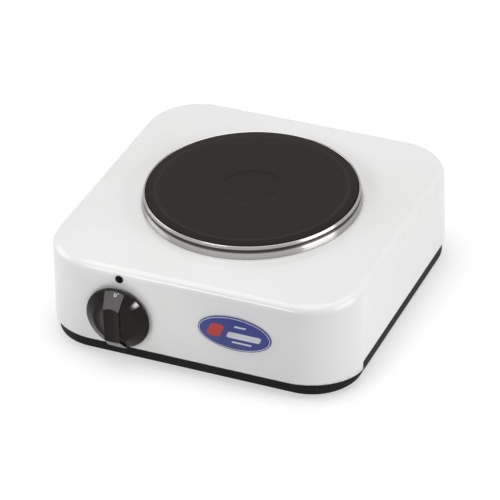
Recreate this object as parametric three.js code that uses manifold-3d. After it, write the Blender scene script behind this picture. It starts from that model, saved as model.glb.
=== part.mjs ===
// A single electric hot plate: a cast-iron cooking plate in an enamelled steel housing on a moulded base.
// Millimetres, +Z up. The rubber feet rest on Z = 0, the control knob is on the -Y side, left of the middle.
// Every piece is modelled about the middle of the housing, and the last lines set the assembly on its origin.

import * as THREE from "three";
import { mergeVertices } from "three/addons/utils/BufferGeometryUtils.js";
import Module from "manifold-3d";

const wasm = await Module();
wasm.setup();

// ------------------------------------------------ driving dimensions, millimetres

const CLEARANCE = 0.3; // gap left between two pieces that bear on each other
const CUT_MARGIN = 2; // how far a cutting tool reaches past the face it cuts
const WELD = 1e-4; // corners closer together than this become one
const ROUND_STEPS = 48; // sides of the cooking plate and its ring
const INNER_STEPS = 32; // sides of a large turned piece inside the housing
const SMALL_STEPS = 12; // sides of a screw, pin or small hole
const BORE_STEPS = 20; // sides of a shaft, its bores and the feet
const KNOB_STEPS = 40; // sides of the knob
const CORNER_STEPS = 8; // facets around one corner of the housing
const FOLD_STEPS = 4; // facets over the housing's top fold

// Housing
const BODY_SIZE = 240; // width and depth at the lower edge
const BODY_CORNER = 43; // plan radius of the corners
const HOUSING_TOP = 78; // height of the top face
const HOUSING_LEAN = 1.1; // how far a wall leans in between its lower edge and the fold
const FOLD_RADIUS = 6.5; // fold between the walls and the top face
const SHEET = 1; // thickness of the enamelled sheet
const FRONT_EDGE = 14.6; // height of the lower edge at the front and back
const CORNER_DIP = 2.3; // how much lower the edge is where a corner meets a side
const DIP_LENGTH = 35; // length of the slope down to that lowest point
const SIDE_EDGE = 19.5; // height of the raised lower edge of the two sides
const RECESS_FRONT = 83; // distance of that raised edge's front end from the housing's middle
const RECESS_REAR = 96; // and of its rear end
const RECESS_CORNER = 4; // radius at its two ends

// Base
const FOOT_HEIGHT = 4; // the rubber feet lift the base by this much
const BASE_SETBACK = 3.5; // the base's foot lies this far inside the housing's outline
const BASE_CORNER_LESS = 6.5; // the base's corners are this much tighter than the housing's
const BASE_ROUND = 1.5; // rounding of the base's bottom edge
const BASE_TOP = 24; // height of the top of the base's wall, inside the housing
const BASE_TOP_GAP = 0.9; // gap between that wall and the housing
const BASE_WALL = 2.2;
const BASE_FLOOR = 2;
const VENT_LENGTH = 34;
const VENT_WIDTH = 5;
const VENT_PITCH = 12;
const VENT_COUNT = 5; // slots in each of the two rows
const VENT_ROW = 44; // distance of each row from the middle

// Feet, base screws and brackets
const FOOT_SIDE_INSET = 16; // distance of the feet from the housing's outline, left and right
const FOOT_CORNER_GAP = 2; // between the end of the corner's curve and the bracket over each foot
const FOOT_RADIUS = 8;
const FOOT_WEB = 1.2; // rubber between the screw head and the base
const POST_RADIUS = 5;
const BASE_SCREW_RADIUS = 1.75;
const BASE_SCREW_HEAD = 3.6; // radius of the head
const BASE_SCREW_HEAD_DEPTH = 1.6;
const BRACKET_GAP = 3; // between the top of the base's wall and the bracket's flat leg
const BRACKET_SHEET = 1.2;
const BRACKET_RISE = 18; // height of the leg welded to the housing
const BRACKET_REACH = 20; // length of the flat leg
const BRACKET_WIDTH = 14;

// Cooking plate
const PLATE_SETBACK = 2.2; // the plate's centre lies behind the middle of the housing
const PLATE_RADIUS = 77.5;
const PLATE_RISE = 10.2; // cooking face above the housing's top face
const PLATE_BORDER = 5; // width of the sloping border around the flat cooking face
const PLATE_BORDER_DROP = 0.6; // fall of that border
const PLATE_EDGE = 0.7; // chamfer at the outer edge
const PLATE_RIM = 4.1; // thickness of the overhanging rim
const PLATE_OVERHANG = 3.7; // the rim reaches this far beyond the casting below it
const PLATE_DEPTH = 14.2; // thickness of the casting
const DIMPLE_RADIUS = 22; // shallow recess in the middle of the cooking face
const DIMPLE_DEPTH = 0.5;
const CHANNEL_MARGIN = 2.8; // space beside the coil in its channel in the underside
const CHANNEL_DEPTH = 6;
const BOSS_RADIUS = 10; // central boss, tapped for the stud
const BOSS_DEPTH = 2.5;
const OPENING_GAP = 1.5; // between the casting and the opening in the housing's top face

// Spill ring
const RING_SHEET = 0.6;
const RING_BEAD = 2; // width of the bead around the plate's edge
const RING_BEAD_DROP = 0.4; // the bead's crest lies this far below the cooking face
const RING_CREASE = 4; // the crease lies this far below the crest
const RING_FLARE = 1.3; // the skirt's foot reaches this far out beyond the bead

// Heating coil, insulation and cover
const COIL_WIRE = 2.2; // radius of the sheathed coil
const COIL_OUTER = 58; // radius of its first turn
const COIL_INNER = 30; // radius at its end
const COIL_TURNS = 2;
const COIL_STEPS = 44;
const TAIL_RADIUS = 1.6; // radius of the two cold ends
const INSULATION_THICKNESS = 3.7;
const INSULATION_INSET = 4.3; // the insulation stops this far inside the casting's edge
const COVER_SHEET = 0.8;

// Stud, nut and clamping bridge
const STUD_RADIUS = 4;
const STUD_SPARE = 3.3; // length of stud that shows under the nut
const BRIDGE_DROP = 16.9; // underside of the bridge's middle below the plate's cover
const BRIDGE_SHEET = 2;
const BRIDGE_WIDTH = 26;
const BRIDGE_MIDDLE = 25; // half length of the flat middle
const BRIDGE_KNEE_RISE = 8; // the arms turn up steeply this far above the middle
const BRIDGE_KNEE_RUN = 6; // length of that steep stretch, seen from above
const BRIDGE_PAD_GAP = 4.7; // between the opening's edge and the start of the end pads
const BRIDGE_PAD_LENGTH = 16;
const WASHER_RADIUS = 8.5;
const WASHER_THICKNESS = 1.6;
const NUT_RADIUS = 7.5; // over the corners
const NUT_THICKNESS = 6.5;
const NUT_SIDES = 6;

// Terminal block under the plate
const PLATE_BLOCK_WIDTH = 24;
const PLATE_BLOCK_MARGIN = 8; // block beyond each of the coil's ends
const PLATE_BLOCK_HEIGHT = 11;

// Heat shield
const SHIELD_GAP = 5.5; // room for the leads between the shield and the mains terminal block
const SHIELD_HEIGHT = 30; // underside
const SHIELD_SHEET = 0.8;
const SHIELD_LIP = 4; // height of its turned-up rim
const SHIELD_VENT = 10; // radius of the hole in its middle
const SHIELD_POSTS = 3;
const SHIELD_POST_INSET = 18; // the posts stand this far inside the shield's edge
const SHIELD_POST_RADIUS = 4;
const SHIELD_SCREW_RADIUS = 1.4;
const SHIELD_SCREW_HEAD = 3.2;
const SHIELD_SCREW_HEAD_DEPTH = 1.8;
const SHIELD_SCREW_LENGTH = 12;

// Knob, shaft and thermostat
const KNOB_X = -51.6; // the knob's axis, left of the middle
const KNOB_HEIGHT = 40.6; // the knob's axis above the rest plane
const KNOB_RADIUS = 24.6;
const KNOB_GAP = 3.3; // between the housing's wall and the knob
const KNOB_SKIRT = 1.5; // depth of the skirt's side
const KNOB_TAPER = 0.4; // the skirt's side is this much smaller at its front
const KNOB_SHOULDER = 7.4; // sloping shoulder between side and face, measured inwards
const KNOB_SHOULDER_DEPTH = 4.6; // and measured along the axis
const KNOB_FACE = 6.5; // depth to the middle of the slightly domed face
const KNOB_DEPTH = 11.3; // depth to the top of the grip
const GRIP_WIDTH = 12.4; // width of the grip along its ridge
const GRIP_ROOT = 16.4; // width of the grip at the skirt
const GRIP_END_FACE = 0.8; // height of the grip's ends above the skirt
const GRIP_RAMP_UP = 12; // length of the ramp from the upper end to the ridge, seen from the front
const GRIP_RAMP_DOWN = 10.2; // and from the lower end
const GRIP_LIP = 0.8; // width of each edge of the channel along the ridge
const GRIP_CHANNEL = 0.8; // depth of that channel in the middle
const KNOB_WALL = 2.4;
const KNOB_HOLLOW = 3.2; // depth of the hollow behind the face
const HOLLOW_STEP = 0.4; // the hollow's side is upright this far
const HOLLOW_SLOPE = 4; // and then slopes inwards by this much
const KNOB_HUB_WALL = 3.2; // wall of the hub around the shaft
const SHAFT_RADIUS = 3;
const SHAFT_REACH = 7.8; // how far the shaft reaches into the knob
const CLIP_SHEET = 0.5; // spring clip between the shaft's flat and the knob
const CLIP_WIDTH = 1.6;
const SHAFT_HOLE_GAP = 1.6; // between the shaft and the hole in the housing
const THERMOSTAT_WIDTH = 38;
const THERMOSTAT_GAP = 1.6; // between the top of the base's wall and the thermostat
const THERMOSTAT_DEPTH = 28;
const THERMOSTAT_WALL = 4; // wall around the chamber for cam and contacts, which is open at the back
const THERMOSTAT_FRONT = 12; // thickness in front of that chamber
const CAM_GAP = 2.8; // between the cam's lobe and the chamber's floor
const CAM_LIFT = 1.2; // offset of the cam's lobe
const CAM_THICKNESS = 4;
const BLADE_SHEET = 0.5;
const BLADE_WIDTH = 5;
const BLADE_SPACING = 2.6; // between the moving and the fixed contact
const TAB_LENGTH = 6; // how far the contact tabs stand out of the back
const WALL_SCREW_SPACING = 26; // between the thermostat's two screws
const WALL_SCREW_RADIUS = 1.8;
const WALL_SCREW_HEAD = 3.3;
const WALL_SCREW_HEAD_DEPTH = 1.7;
const WALL_SCREW_LENGTH = 9;

// Pilot lamp
const LENS_BELOW_TOP = 6.8; // the lens lies this far below the top face, above the knob
const LENS_SIDE = 0.9; // and this far right of the knob's axis
const LENS_RADIUS = 3;
const LENS_PROUD = 0.9; // thickness of its head
const LENS_CHAMFER = 0.7; // share of the head's radius that is flat on top
const LENS_STEM = 1.8; // radius behind the wall
const LENS_STEM_LENGTH = 4;
const LAMP_RADIUS = 2.4;
const LAMP_LENGTH = 15;

// Mains terminal block and cord inlet
const MAINS_X = 37; // middle of the block and of the cord inlet, right of the middle
const MAINS_DEPTH = 16;
const MAINS_HEIGHT = 15;
const MAINS_GAP = 8; // between the block and the base's rear wall
const POLE_COUNT = 3;
const POLE_PITCH = 11;
const POLE_BORE = 2; // radius of each wire hole
const POLE_BORE_DEPTH = 7;
const BLOCK_SCREW_RADIUS = 1.5;
const BLOCK_SCREW_HEAD = 2.6;
const BLOCK_SCREW_HEAD_DEPTH = 1.8;
const BLOCK_SCREW_MARGIN = 8; // from an outer pole's axis to the screw beside it
const BLOCK_END = 4; // from that screw's axis to the block's end
const INLET_HEIGHT = 38; // axis of the cord inlet
const INLET_BORE = 3.8;
const INLET_WALL = 1.9; // wall of the bush where it goes through the housing
const INLET_LIP = 2.8; // how far its flanges reach beyond that
const INLET_LIP_DEPTH = 2.5;

// Leads
const LEAD_RADIUS = 1.4;
const LEAD_SIDES = 8;
const LEAD_STRIDE = 6.5; // length of one straight step of a lead
const LAMP_LEAD_RADIUS = 0.8;
const LAMP_LEAD_STRIDE = 3;
const LAMP_LEAD_SPREAD = 1.2; // distance of each lamp lead from the lamp's axis
const EARTH_SCREW_X = 17; // earth screw on the bridge, from the stud
const EARTH_SCREW_RADIUS = 2;
const EARTH_SCREW_HEAD = 3.8;
const EARTH_SCREW_HEAD_DEPTH = 1.8;

// Front badge
const BADGE_X = 37.5; // its middle, right of the middle of the housing
const BADGE_HEIGHT = 46.5; // height of its middle
const BADGE_WIDTH = 56;
const BADGE_TALL = 27.6;
const BADGE_THICKNESS = 0.6;
const BADGE_STEPS = 32;

// ------------------------------------------------ solids and shapes

// A closed geometry as a solid that can be joined and cut.
function solid(geometry) {
  const bare = geometry.clone();
  bare.deleteAttribute("normal");
  bare.deleteAttribute("uv");
  const merged = mergeVertices(bare, WELD);
  return new wasm.Manifold(
    new wasm.Mesh({
      numProp: 3,
      vertProperties: merged.attributes.position.array,
      triVerts: new Uint32Array(merged.index.array),
    }),
  );
}

// A solid as a geometry again.
function geometryOf(made) {
  const mesh = made.getMesh();
  const geometry = new THREE.BufferGeometry();
  geometry.setAttribute("position", new THREE.BufferAttribute(mesh.vertProperties, 3));
  geometry.setIndex(new THREE.BufferAttribute(mesh.triVerts, 1));
  return geometry;
}

// Joins a list of solids, then cuts a list of tools out of the result.
function joined(solids, tools = []) {
  const whole = solids.reduce((sum, one) => sum.add(one));
  return tools.reduce((rest, tool) => rest.subtract(tool), whole);
}

// A block between two corners.
function block(xLow, xHigh, yLow, yHigh, zLow, zHigh) {
  const geometry = new THREE.BoxGeometry(xHigh - xLow, yHigh - yLow, zHigh - zLow);
  geometry.translate((xLow + xHigh) / 2, (yLow + yHigh) / 2, (zLow + zHigh) / 2);
  return solid(geometry);
}

const AXES = {
  up: new THREE.Matrix4().makeRotationX(Math.PI / 2), // heights run towards +Z
  front: new THREE.Matrix4().makeRotationX(Math.PI), // heights run towards -Y
  back: new THREE.Matrix4(), // heights run towards +Y
};
const ORIGIN = [0, 0, 0];

// A turned solid. The profile lists [radius, height] anticlockwise, with the axis on its left.
function turned(profile, axis, place = ORIGIN, steps = ROUND_STEPS) {
  const points = profile.map(([radius, height]) => new THREE.Vector2(radius, height));
  const geometry = new THREE.LatheGeometry(points, steps);
  geometry.applyMatrix4(AXES[axis]);
  geometry.translate(...place);
  return solid(geometry);
}

// A plain round bar between two heights along its axis.
function rod(radius, low, high, axis, place = ORIGIN, steps = SMALL_STEPS) {
  const profile = [
    [0, low],
    [radius, low],
    [radius, high],
    [0, high],
  ];
  return turned(profile, axis, place, steps);
}

// A screw whose head ends at height 0 and whose plain shank runs on along its axis.
function screw(size, axis) {
  const profile = [
    [0, -size.headDepth],
    [size.head, -size.headDepth],
    [size.head, 0],
    [size.shank, 0],
    [size.shank, size.length],
    [0, size.length],
  ];
  return turned(profile, axis, ORIGIN, SMALL_STEPS);
}

function shapeOf(points) {
  return new THREE.Shape(points.map(([u, v]) => new THREE.Vector2(u, v)));
}

const BASES = {
  x: new THREE.Matrix4().set(0, 0, 1, 0, 1, 0, 0, 0, 0, 1, 0, 0, 0, 0, 0, 1),
  y: new THREE.Matrix4().set(1, 0, 0, 0, 0, 0, -1, 0, 0, 1, 0, 0, 0, 0, 0, 1),
  z: new THREE.Matrix4(),
};

// A shape pulled along an axis: (Y, Z) outlines along X, (X, Z) outlines along Y, (X, Y) outlines along Z.
function pulled(shape, axis, low, high, curveSegments = 8) {
  const geometry = new THREE.ExtrudeGeometry(shape, {
    depth: high - low,
    bevelEnabled: false,
    steps: 1,
    curveSegments,
  });
  geometry.applyMatrix4(BASES[axis]);
  const start = { x: [low, 0, 0], y: [0, high, 0], z: [0, 0, low] }[axis];
  geometry.translate(...start);
  return solid(geometry);
}

// A lead or coil: a round section along a smooth route.
function routed(curve, radius, sides, steps) {
  const section = new THREE.Shape();
  section.absarc(0, 0, radius, 0, 2 * Math.PI, false);
  const geometry = new THREE.ExtrudeGeometry(section, {
    extrudePath: curve,
    steps,
    curveSegments: sides / 2,
    bevelEnabled: false,
  });
  return solid(geometry);
}

// Points of a rounded square in plan, anticlockwise from the +X side.
function roundedSquare(half, radius) {
  const points = [];
  const centre = half - radius;
  for (let corner = 0; corner < 4; corner++) {
    const signX = corner === 0 || corner === 3 ? 1 : -1;
    const signY = corner < 2 ? 1 : -1;
    for (let step = 0; step <= CORNER_STEPS; step++) {
      const angle = ((corner + step / CORNER_STEPS) * Math.PI) / 2;
      const x = signX * centre + radius * Math.cos(angle);
      const y = signY * centre + radius * Math.sin(angle);
      points.push([x, y]);
    }
  }
  return points;
}

// A solid through rounded squares one above the other.
// Each section has a half width, a corner radius and a height.
function lofted(sections) {
  const rings = sections.map(({ half, radius, z }) => roundedSquare(half, radius).map(([x, y]) => [x, y, z]));
  const count = rings[0].length;
  const positions = rings.flat(2);
  const lowest = sections[0].z;
  const highest = sections[sections.length - 1].z;
  positions.push(0, 0, lowest, 0, 0, highest);
  const bottomCentre = rings.length * count;
  const topCentre = bottomCentre + 1;
  const topRing = (rings.length - 1) * count;
  const index = [];
  for (let i = 0; i < count; i++) {
    const next = (i + 1) % count;
    for (let ring = 0; ring < rings.length - 1; ring++) {
      const low = ring * count;
      const high = low + count;
      index.push(low + i, low + next, high + next, low + i, high + next, high + i);
    }
    index.push(bottomCentre, next, i);
    index.push(topCentre, topRing + i, topRing + next);
  }
  const geometry = new THREE.BufferGeometry();
  geometry.setAttribute("position", new THREE.Float32BufferAttribute(positions, 3));
  geometry.setIndex(index);
  return solid(geometry);
}

// ------------------------------------------------ finishes

function finish(color, roughness, metalness) {
  return new THREE.MeshStandardMaterial({ color, roughness, metalness });
}

const ENAMEL = finish(0xf2f2f0, 0.22, 0);
const BLACK_MOULDING = finish(0x1c1b1b, 0.45, 0);
const RUBBER = finish(0x151515, 0.9, 0);
const ZINC = finish(0xb4b7ba, 0.35, 0.9);
const CAST_IRON = finish(0x34302d, 0.75, 0.5);
const BRIGHT_STEEL = finish(0xd8d9da, 0.12, 1);
const COIL_SHEATH = finish(0x5b5650, 0.6, 0.7);
const MICA = finish(0xc9bfa6, 0.85, 0);
const PORCELAIN = finish(0xe9e4d8, 0.4, 0);
const PHENOLIC = finish(0x2a2320, 0.5, 0);
const KNOB_BLACK = finish(0x0f0e0e, 0.12, 0);
const BRASS = finish(0xc19a4b, 0.35, 0.9);
const SMOKED_LENS = finish(0x120c0c, 0.1, 0);
const LAMP_GLASS = finish(0xd9b38c, 0.1, 0);
const LEAD_BROWN = finish(0x6b3e22, 0.7, 0);
const LEAD_BLUE = finish(0x2f5fa8, 0.7, 0);
const LEAD_GREEN = finish(0x6f9a2c, 0.7, 0);
const BADGE_BLUE = finish(0x2d4aa0, 0.3, 0);

// ------------------------------------------------ places worked out from the sizes

const bodyHalf = BODY_SIZE / 2;
const housingLow = FRONT_EDGE - CORNER_DIP;
const foldStart = HOUSING_TOP - FOLD_RADIUS;

// How far the wall's outer face lies inside the housing's outline at a height.
function wallInset(height) {
  return (HOUSING_LEAN * (height - housingLow)) / (foldStart - housingLow);
}

// Distance of the wall's outer and inner faces from the middle at a height.
const wallOuter = (height) => bodyHalf - wallInset(height);
const wallInner = (height) => wallOuter(height) - SHEET;

// Base, feet and brackets
const baseFloorTop = FOOT_HEIGHT + BASE_FLOOR;
const baseTopHalf = wallInner(BASE_TOP) - BASE_TOP_GAP;
const baseFootHalf = bodyHalf - BASE_SETBACK;
const baseCorner = BODY_CORNER - BASE_CORNER_LESS;
const bracketUnder = BASE_TOP + BRACKET_GAP;
const footX = bodyHalf - FOOT_SIDE_INSET;
const footY = bodyHalf - BODY_CORNER - BRACKET_WIDTH / 2 - FOOT_CORNER_GAP;
const CORNERS = [
  { name: "front_left", x: -footX, y: -footY },
  { name: "front_right", x: footX, y: -footY },
  { name: "rear_left", x: -footX, y: footY },
  { name: "rear_right", x: footX, y: footY },
];

// Heights and radii of the cooking plate and of what hangs under it, about the plate's own axis
const plateTop = HOUSING_TOP + PLATE_RISE;
const plateUnder = plateTop - PLATE_DEPTH;
const rimUnder = plateTop - PLATE_RIM;
const plateBody = PLATE_RADIUS - PLATE_OVERHANG;
const openingRadius = plateBody + OPENING_GAP;
const channelInner = COIL_INNER - COIL_WIRE - CHANNEL_MARGIN;
const channelOuter = COIL_OUTER + COIL_WIRE + CHANNEL_MARGIN;
const insulationTop = plateUnder - CLEARANCE;
const insulationRadius = plateBody - INSULATION_INSET;
const coverTop = insulationTop - INSULATION_THICKNESS - CLEARANCE;
const coverUnder = coverTop - COVER_SHEET;
const blockTop = coverUnder - CLEARANCE;
const blockUnder = blockTop - PLATE_BLOCK_HEIGHT;
const bridgeUnder = coverUnder - BRIDGE_DROP;
const washerTop = bridgeUnder - CLEARANCE;
const nutTop = washerTop - WASHER_THICKNESS - CLEARANCE;
const COIL_TAILS = [COIL_OUTER, COIL_INNER]; // distance of the coil's two ends behind the plate's axis

// Mains block and heat shield
const mainsRear = baseTopHalf - BASE_WALL - MAINS_GAP;
const mainsFront = mainsRear - MAINS_DEPTH;
const mainsMiddle = (mainsFront + mainsRear) / 2;
const mainsHalfWidth = ((POLE_COUNT - 1) / 2) * POLE_PITCH + BLOCK_SCREW_MARGIN + BLOCK_END;
const mainsUnder = baseFloorTop + CLEARANCE;
const mainsTop = mainsUnder + MAINS_HEIGHT;
const POLES = Array.from({ length: POLE_COUNT }, (_, i) => (i - (POLE_COUNT - 1) / 2) * POLE_PITCH);
const BLOCK_SCREWS = [
  { name: "left", x: BLOCK_END - mainsHalfWidth },
  { name: "right", x: mainsHalfWidth - BLOCK_END },
];
const inletNeck = INLET_BORE + INLET_WALL;
const inletFlange = inletNeck + INLET_LIP;
const shieldRadius = mainsFront - PLATE_SETBACK - SHIELD_GAP;
const shieldTop = SHIELD_HEIGHT + SHIELD_SHEET;
const shieldPostTop = SHIELD_HEIGHT - CLEARANCE;
const shieldScrewEnd = shieldTop + CLEARANCE - SHIELD_SCREW_LENGTH;

// Places of the heat shield's posts about the plate's axis.
const SHIELD_PLACES = Array.from({ length: SHIELD_POSTS }, (_, i) => {
  const angle = -Math.PI / 2 + (2 * Math.PI * i) / SHIELD_POSTS;
  const reach = shieldRadius - SHIELD_POST_INSET;
  return [reach * Math.cos(angle), reach * Math.sin(angle)];
});

// Knob, shaft and thermostat, about the knob's axis
const knobWall = wallOuter(KNOB_HEIGHT);
const knobBack = knobWall + KNOB_GAP;
const thermostatHeight = 2 * (KNOB_HEIGHT - BASE_TOP - THERMOSTAT_GAP);
const thermostatFront = wallInner(KNOB_HEIGHT + thermostatHeight / 2) - CLEARANCE;
const thermostatBack = thermostatFront - THERMOSTAT_DEPTH;
const chamberFront = thermostatFront - THERMOSTAT_FRONT;
const chamberHalfWidth = THERMOSTAT_WIDTH / 2 - THERMOSTAT_WALL;
const chamberHalfHeight = thermostatHeight / 2 - THERMOSTAT_WALL;
const wallScrewFace = knobWall + CLEARANCE;
const camRadius = chamberHalfHeight - CAM_LIFT - CAM_GAP;
const camBack = chamberFront - CLEARANCE - CAM_THICKNESS;
const clipLow = Math.sqrt(SHAFT_RADIUS ** 2 - (CLIP_WIDTH / 2) ** 2);
const shaftFlat = clipLow - CLIP_SHEET - CLEARANCE;
const movingBladeX = camRadius + CAM_LIFT + 2 * CLEARANCE;
const fixedBladeX = movingBladeX + BLADE_SPACING;
const movingTab = chamberHalfHeight - CLEARANCE - BLADE_WIDTH / 2;
const fixedTab = 0;
const tabBack = thermostatBack - TAB_LENGTH;

// Pilot lamp
const lensHeight = HOUSING_TOP - LENS_BELOW_TOP;
const lensFace = wallOuter(lensHeight) + CLEARANCE;
const lampFront = lensFace - LENS_STEM_LENGTH - CLEARANCE;
const lampBack = lampFront - LAMP_LENGTH;

// ------------------------------------------------ housing

// Sections of the housing's outer skin, or of the space inside it when it is offset inwards.
function housingSections(offset, low) {
  const fold = FOLD_RADIUS - offset;
  const foldHalf = bodyHalf - HOUSING_LEAN - FOLD_RADIUS;
  const foldCorner = BODY_CORNER - HOUSING_LEAN - FOLD_RADIUS;
  const sections = [
    {
      half: bodyHalf - wallInset(low) - offset,
      radius: BODY_CORNER - wallInset(low) - offset,
      z: low,
    },
  ];
  for (let step = 0; step <= FOLD_STEPS; step++) {
    const angle = ((step / FOLD_STEPS) * Math.PI) / 2;
    const out = fold * Math.cos(angle);
    sections.push({
      half: foldHalf + out,
      radius: foldCorner + out,
      z: foldStart + fold * Math.sin(angle),
    });
  }
  return sections;
}

// Trims the lower edge of the front and back: level in the middle, sloping down to the corners.
function frontEdgeTool() {
  const reach = bodyHalf + CUT_MARGIN;
  const level = bodyHalf - DIP_LENGTH;
  const slope = bodyHalf - DIP_LENGTH / 2;
  const shape = new THREE.Shape();
  shape.moveTo(-reach, housingLow - CUT_MARGIN);
  shape.lineTo(reach, housingLow - CUT_MARGIN);
  shape.lineTo(reach, housingLow);
  shape.lineTo(bodyHalf, housingLow);
  shape.quadraticCurveTo(slope, FRONT_EDGE, level, FRONT_EDGE);
  shape.lineTo(-level, FRONT_EDGE);
  shape.quadraticCurveTo(-slope, FRONT_EDGE, -bodyHalf, housingLow);
  shape.lineTo(-reach, housingLow);
  return pulled(shape, "y", -reach, reach, 6);
}

// Cuts the raised lower edge of both sides, with rounded ends.
function sideRecessTool() {
  const low = housingLow - CUT_MARGIN;
  const arcHeight = SIDE_EDGE - RECESS_CORNER;
  const shape = new THREE.Shape();
  shape.moveTo(-RECESS_FRONT, low);
  shape.lineTo(RECESS_REAR, low);
  shape.lineTo(RECESS_REAR, arcHeight);
  shape.absarc(RECESS_REAR - RECESS_CORNER, arcHeight, RECESS_CORNER, 0, Math.PI / 2, false);
  shape.absarc(-RECESS_FRONT + RECESS_CORNER, arcHeight, RECESS_CORNER, Math.PI / 2, Math.PI, false);
  const reach = bodyHalf + CUT_MARGIN;
  return pulled(shape, "x", -reach, reach, 4);
}

function housingShell() {
  const skin = lofted(housingSections(0, housingLow));
  const inside = lofted(housingSections(SHEET, housingLow - CUT_MARGIN));
  const onAxis = [0, PLATE_SETBACK, 0];
  const opening = rod(openingRadius, foldStart, HOUSING_TOP + CUT_MARGIN, "up", onAxis, ROUND_STEPS);
  const low = bodyHalf - 2 * FOLD_RADIUS;
  const high = bodyHalf + CUT_MARGIN;
  const screwHole = WALL_SCREW_RADIUS + CLEARANCE;
  const frontHoles = [
    [SHAFT_RADIUS + SHAFT_HOLE_GAP, KNOB_X, KNOB_HEIGHT],
    [screwHole, KNOB_X - WALL_SCREW_SPACING / 2, KNOB_HEIGHT],
    [screwHole, KNOB_X + WALL_SCREW_SPACING / 2, KNOB_HEIGHT],
    [LENS_STEM + CLEARANCE, KNOB_X + LENS_SIDE, lensHeight],
  ].map(([radius, x, z]) => rod(radius, low, high, "front", [x, 0, z]));
  const inletHole = rod(inletNeck + CLEARANCE, low, high, "back", [MAINS_X, 0, INLET_HEIGHT], BORE_STEPS);
  return joined([skin], [inside, opening, frontEdgeTool(), sideRecessTool(), ...frontHoles, inletHole]);
}

// ------------------------------------------------ base

// A slot in the base's floor, its long side along Y.
function ventTool(x, y) {
  const half = VENT_LENGTH / 2 - VENT_WIDTH / 2;
  const shape = new THREE.Shape();
  shape.absarc(x, y + half, VENT_WIDTH / 2, 0, Math.PI, false);
  shape.absarc(x, y - half, VENT_WIDTH / 2, Math.PI, 2 * Math.PI, false);
  return pulled(shape, "z", FOOT_HEIGHT - CUT_MARGIN, baseFloorTop + CUT_MARGIN, 3);
}

// The base's wall and floor, without posts or holes.
function plainTray() {
  const topCorner = BODY_CORNER - (bodyHalf - baseTopHalf);
  const rounding = [0, 0.5, 1].map((share) => {
    const angle = (share * Math.PI) / 2;
    const inset = BASE_ROUND * (1 - Math.sin(angle));
    return {
      half: baseFootHalf - inset,
      radius: baseCorner - inset,
      z: FOOT_HEIGHT + BASE_ROUND * (1 - Math.cos(angle)),
    };
  });
  const outside = lofted([...rounding, { half: baseTopHalf, radius: topCorner, z: BASE_TOP }]);
  const innerTop = { half: baseTopHalf - BASE_WALL, radius: topCorner - BASE_WALL };
  const inside = lofted([
    { half: baseFootHalf - BASE_WALL, radius: baseCorner - BASE_WALL, z: baseFloorTop },
    { ...innerTop, z: BASE_TOP },
    { ...innerTop, z: BASE_TOP + CUT_MARGIN },
  ]);
  return joined([outside], [inside]);
}

function baseTray() {
  const root = FOOT_HEIGHT + BASE_FLOOR / 2;
  const low = FOOT_HEIGHT - CUT_MARGIN;
  const postTop = bracketUnder - CLEARANCE;
  const screwHole = BASE_SCREW_RADIUS + CLEARANCE;
  const shieldHole = SHIELD_SCREW_RADIUS + CLEARANCE;
  const blockHole = BLOCK_SCREW_RADIUS + CLEARANCE;
  const solids = [plainTray()];
  const tools = [];
  for (const { x, y } of CORNERS) {
    solids.push(rod(POST_RADIUS, root, postTop, "up", [x, y, 0]));
    tools.push(rod(screwHole, low, postTop + CUT_MARGIN, "up", [x, y, 0]));
  }
  for (const [x, y] of SHIELD_PLACES) {
    const place = [x, y + PLATE_SETBACK, 0];
    solids.push(rod(SHIELD_POST_RADIUS, root, shieldPostTop, "up", place));
    tools.push(rod(shieldHole, shieldScrewEnd - CUT_MARGIN, shieldPostTop + CUT_MARGIN, "up", place));
  }
  for (const { x } of BLOCK_SCREWS) {
    const place = [MAINS_X + x, mainsMiddle, 0];
    tools.push(rod(blockHole, low, baseFloorTop + CUT_MARGIN, "up", place));
  }
  for (let i = 0; i < VENT_COUNT; i++) {
    const x = (i - (VENT_COUNT - 1) / 2) * VENT_PITCH;
    tools.push(ventTool(x, PLATE_SETBACK - VENT_ROW), ventTool(x, PLATE_SETBACK + VENT_ROW));
  }
  return joined(solids, tools);
}

// ------------------------------------------------ feet, base screws and brackets, about a foot's axis

const footTop = FOOT_HEIGHT - CLEARANCE;
const screwSeat = footTop - FOOT_WEB - CLEARANCE;

function rubberFoot() {
  const well = BASE_SCREW_HEAD + CLEARANCE;
  const hole = BASE_SCREW_RADIUS + CLEARANCE;
  const profile = [
    [well, 0],
    [FOOT_RADIUS - CLEARANCE, 0],
    [FOOT_RADIUS, CLEARANCE],
    [FOOT_RADIUS, footTop],
    [hole, footTop],
    [hole, footTop - FOOT_WEB],
    [well, footTop - FOOT_WEB],
    [well, 0],
  ];
  return turned(profile, "up", ORIGIN, BORE_STEPS);
}

function baseScrew() {
  const length = bracketUnder + BRACKET_SHEET + CUT_MARGIN - screwSeat;
  return screw(
    { head: BASE_SCREW_HEAD, headDepth: BASE_SCREW_HEAD_DEPTH, shank: BASE_SCREW_RADIUS, length },
    "up",
  );
}

// An angle bracket, welded to the inside of the right-hand wall, that takes the base screw in its flat leg.
function shellBracket() {
  const outer = wallInner(bracketUnder + BRACKET_RISE) - CLEARANCE - footX;
  const outline = [
    [outer - BRACKET_REACH, 0],
    [outer, 0],
    [outer, BRACKET_RISE],
    [outer - BRACKET_SHEET, BRACKET_RISE],
    [outer - BRACKET_SHEET, BRACKET_SHEET],
    [outer - BRACKET_REACH, BRACKET_SHEET],
  ];
  const angle = pulled(shapeOf(outline), "y", -BRACKET_WIDTH / 2, BRACKET_WIDTH / 2);
  return joined([angle], [rod(BASE_SCREW_RADIUS + CLEARANCE, -CUT_MARGIN, BRACKET_SHEET + CUT_MARGIN, "up")]);
}

// ------------------------------------------------ cooking plate and its ring, about the plate's axis

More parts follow.
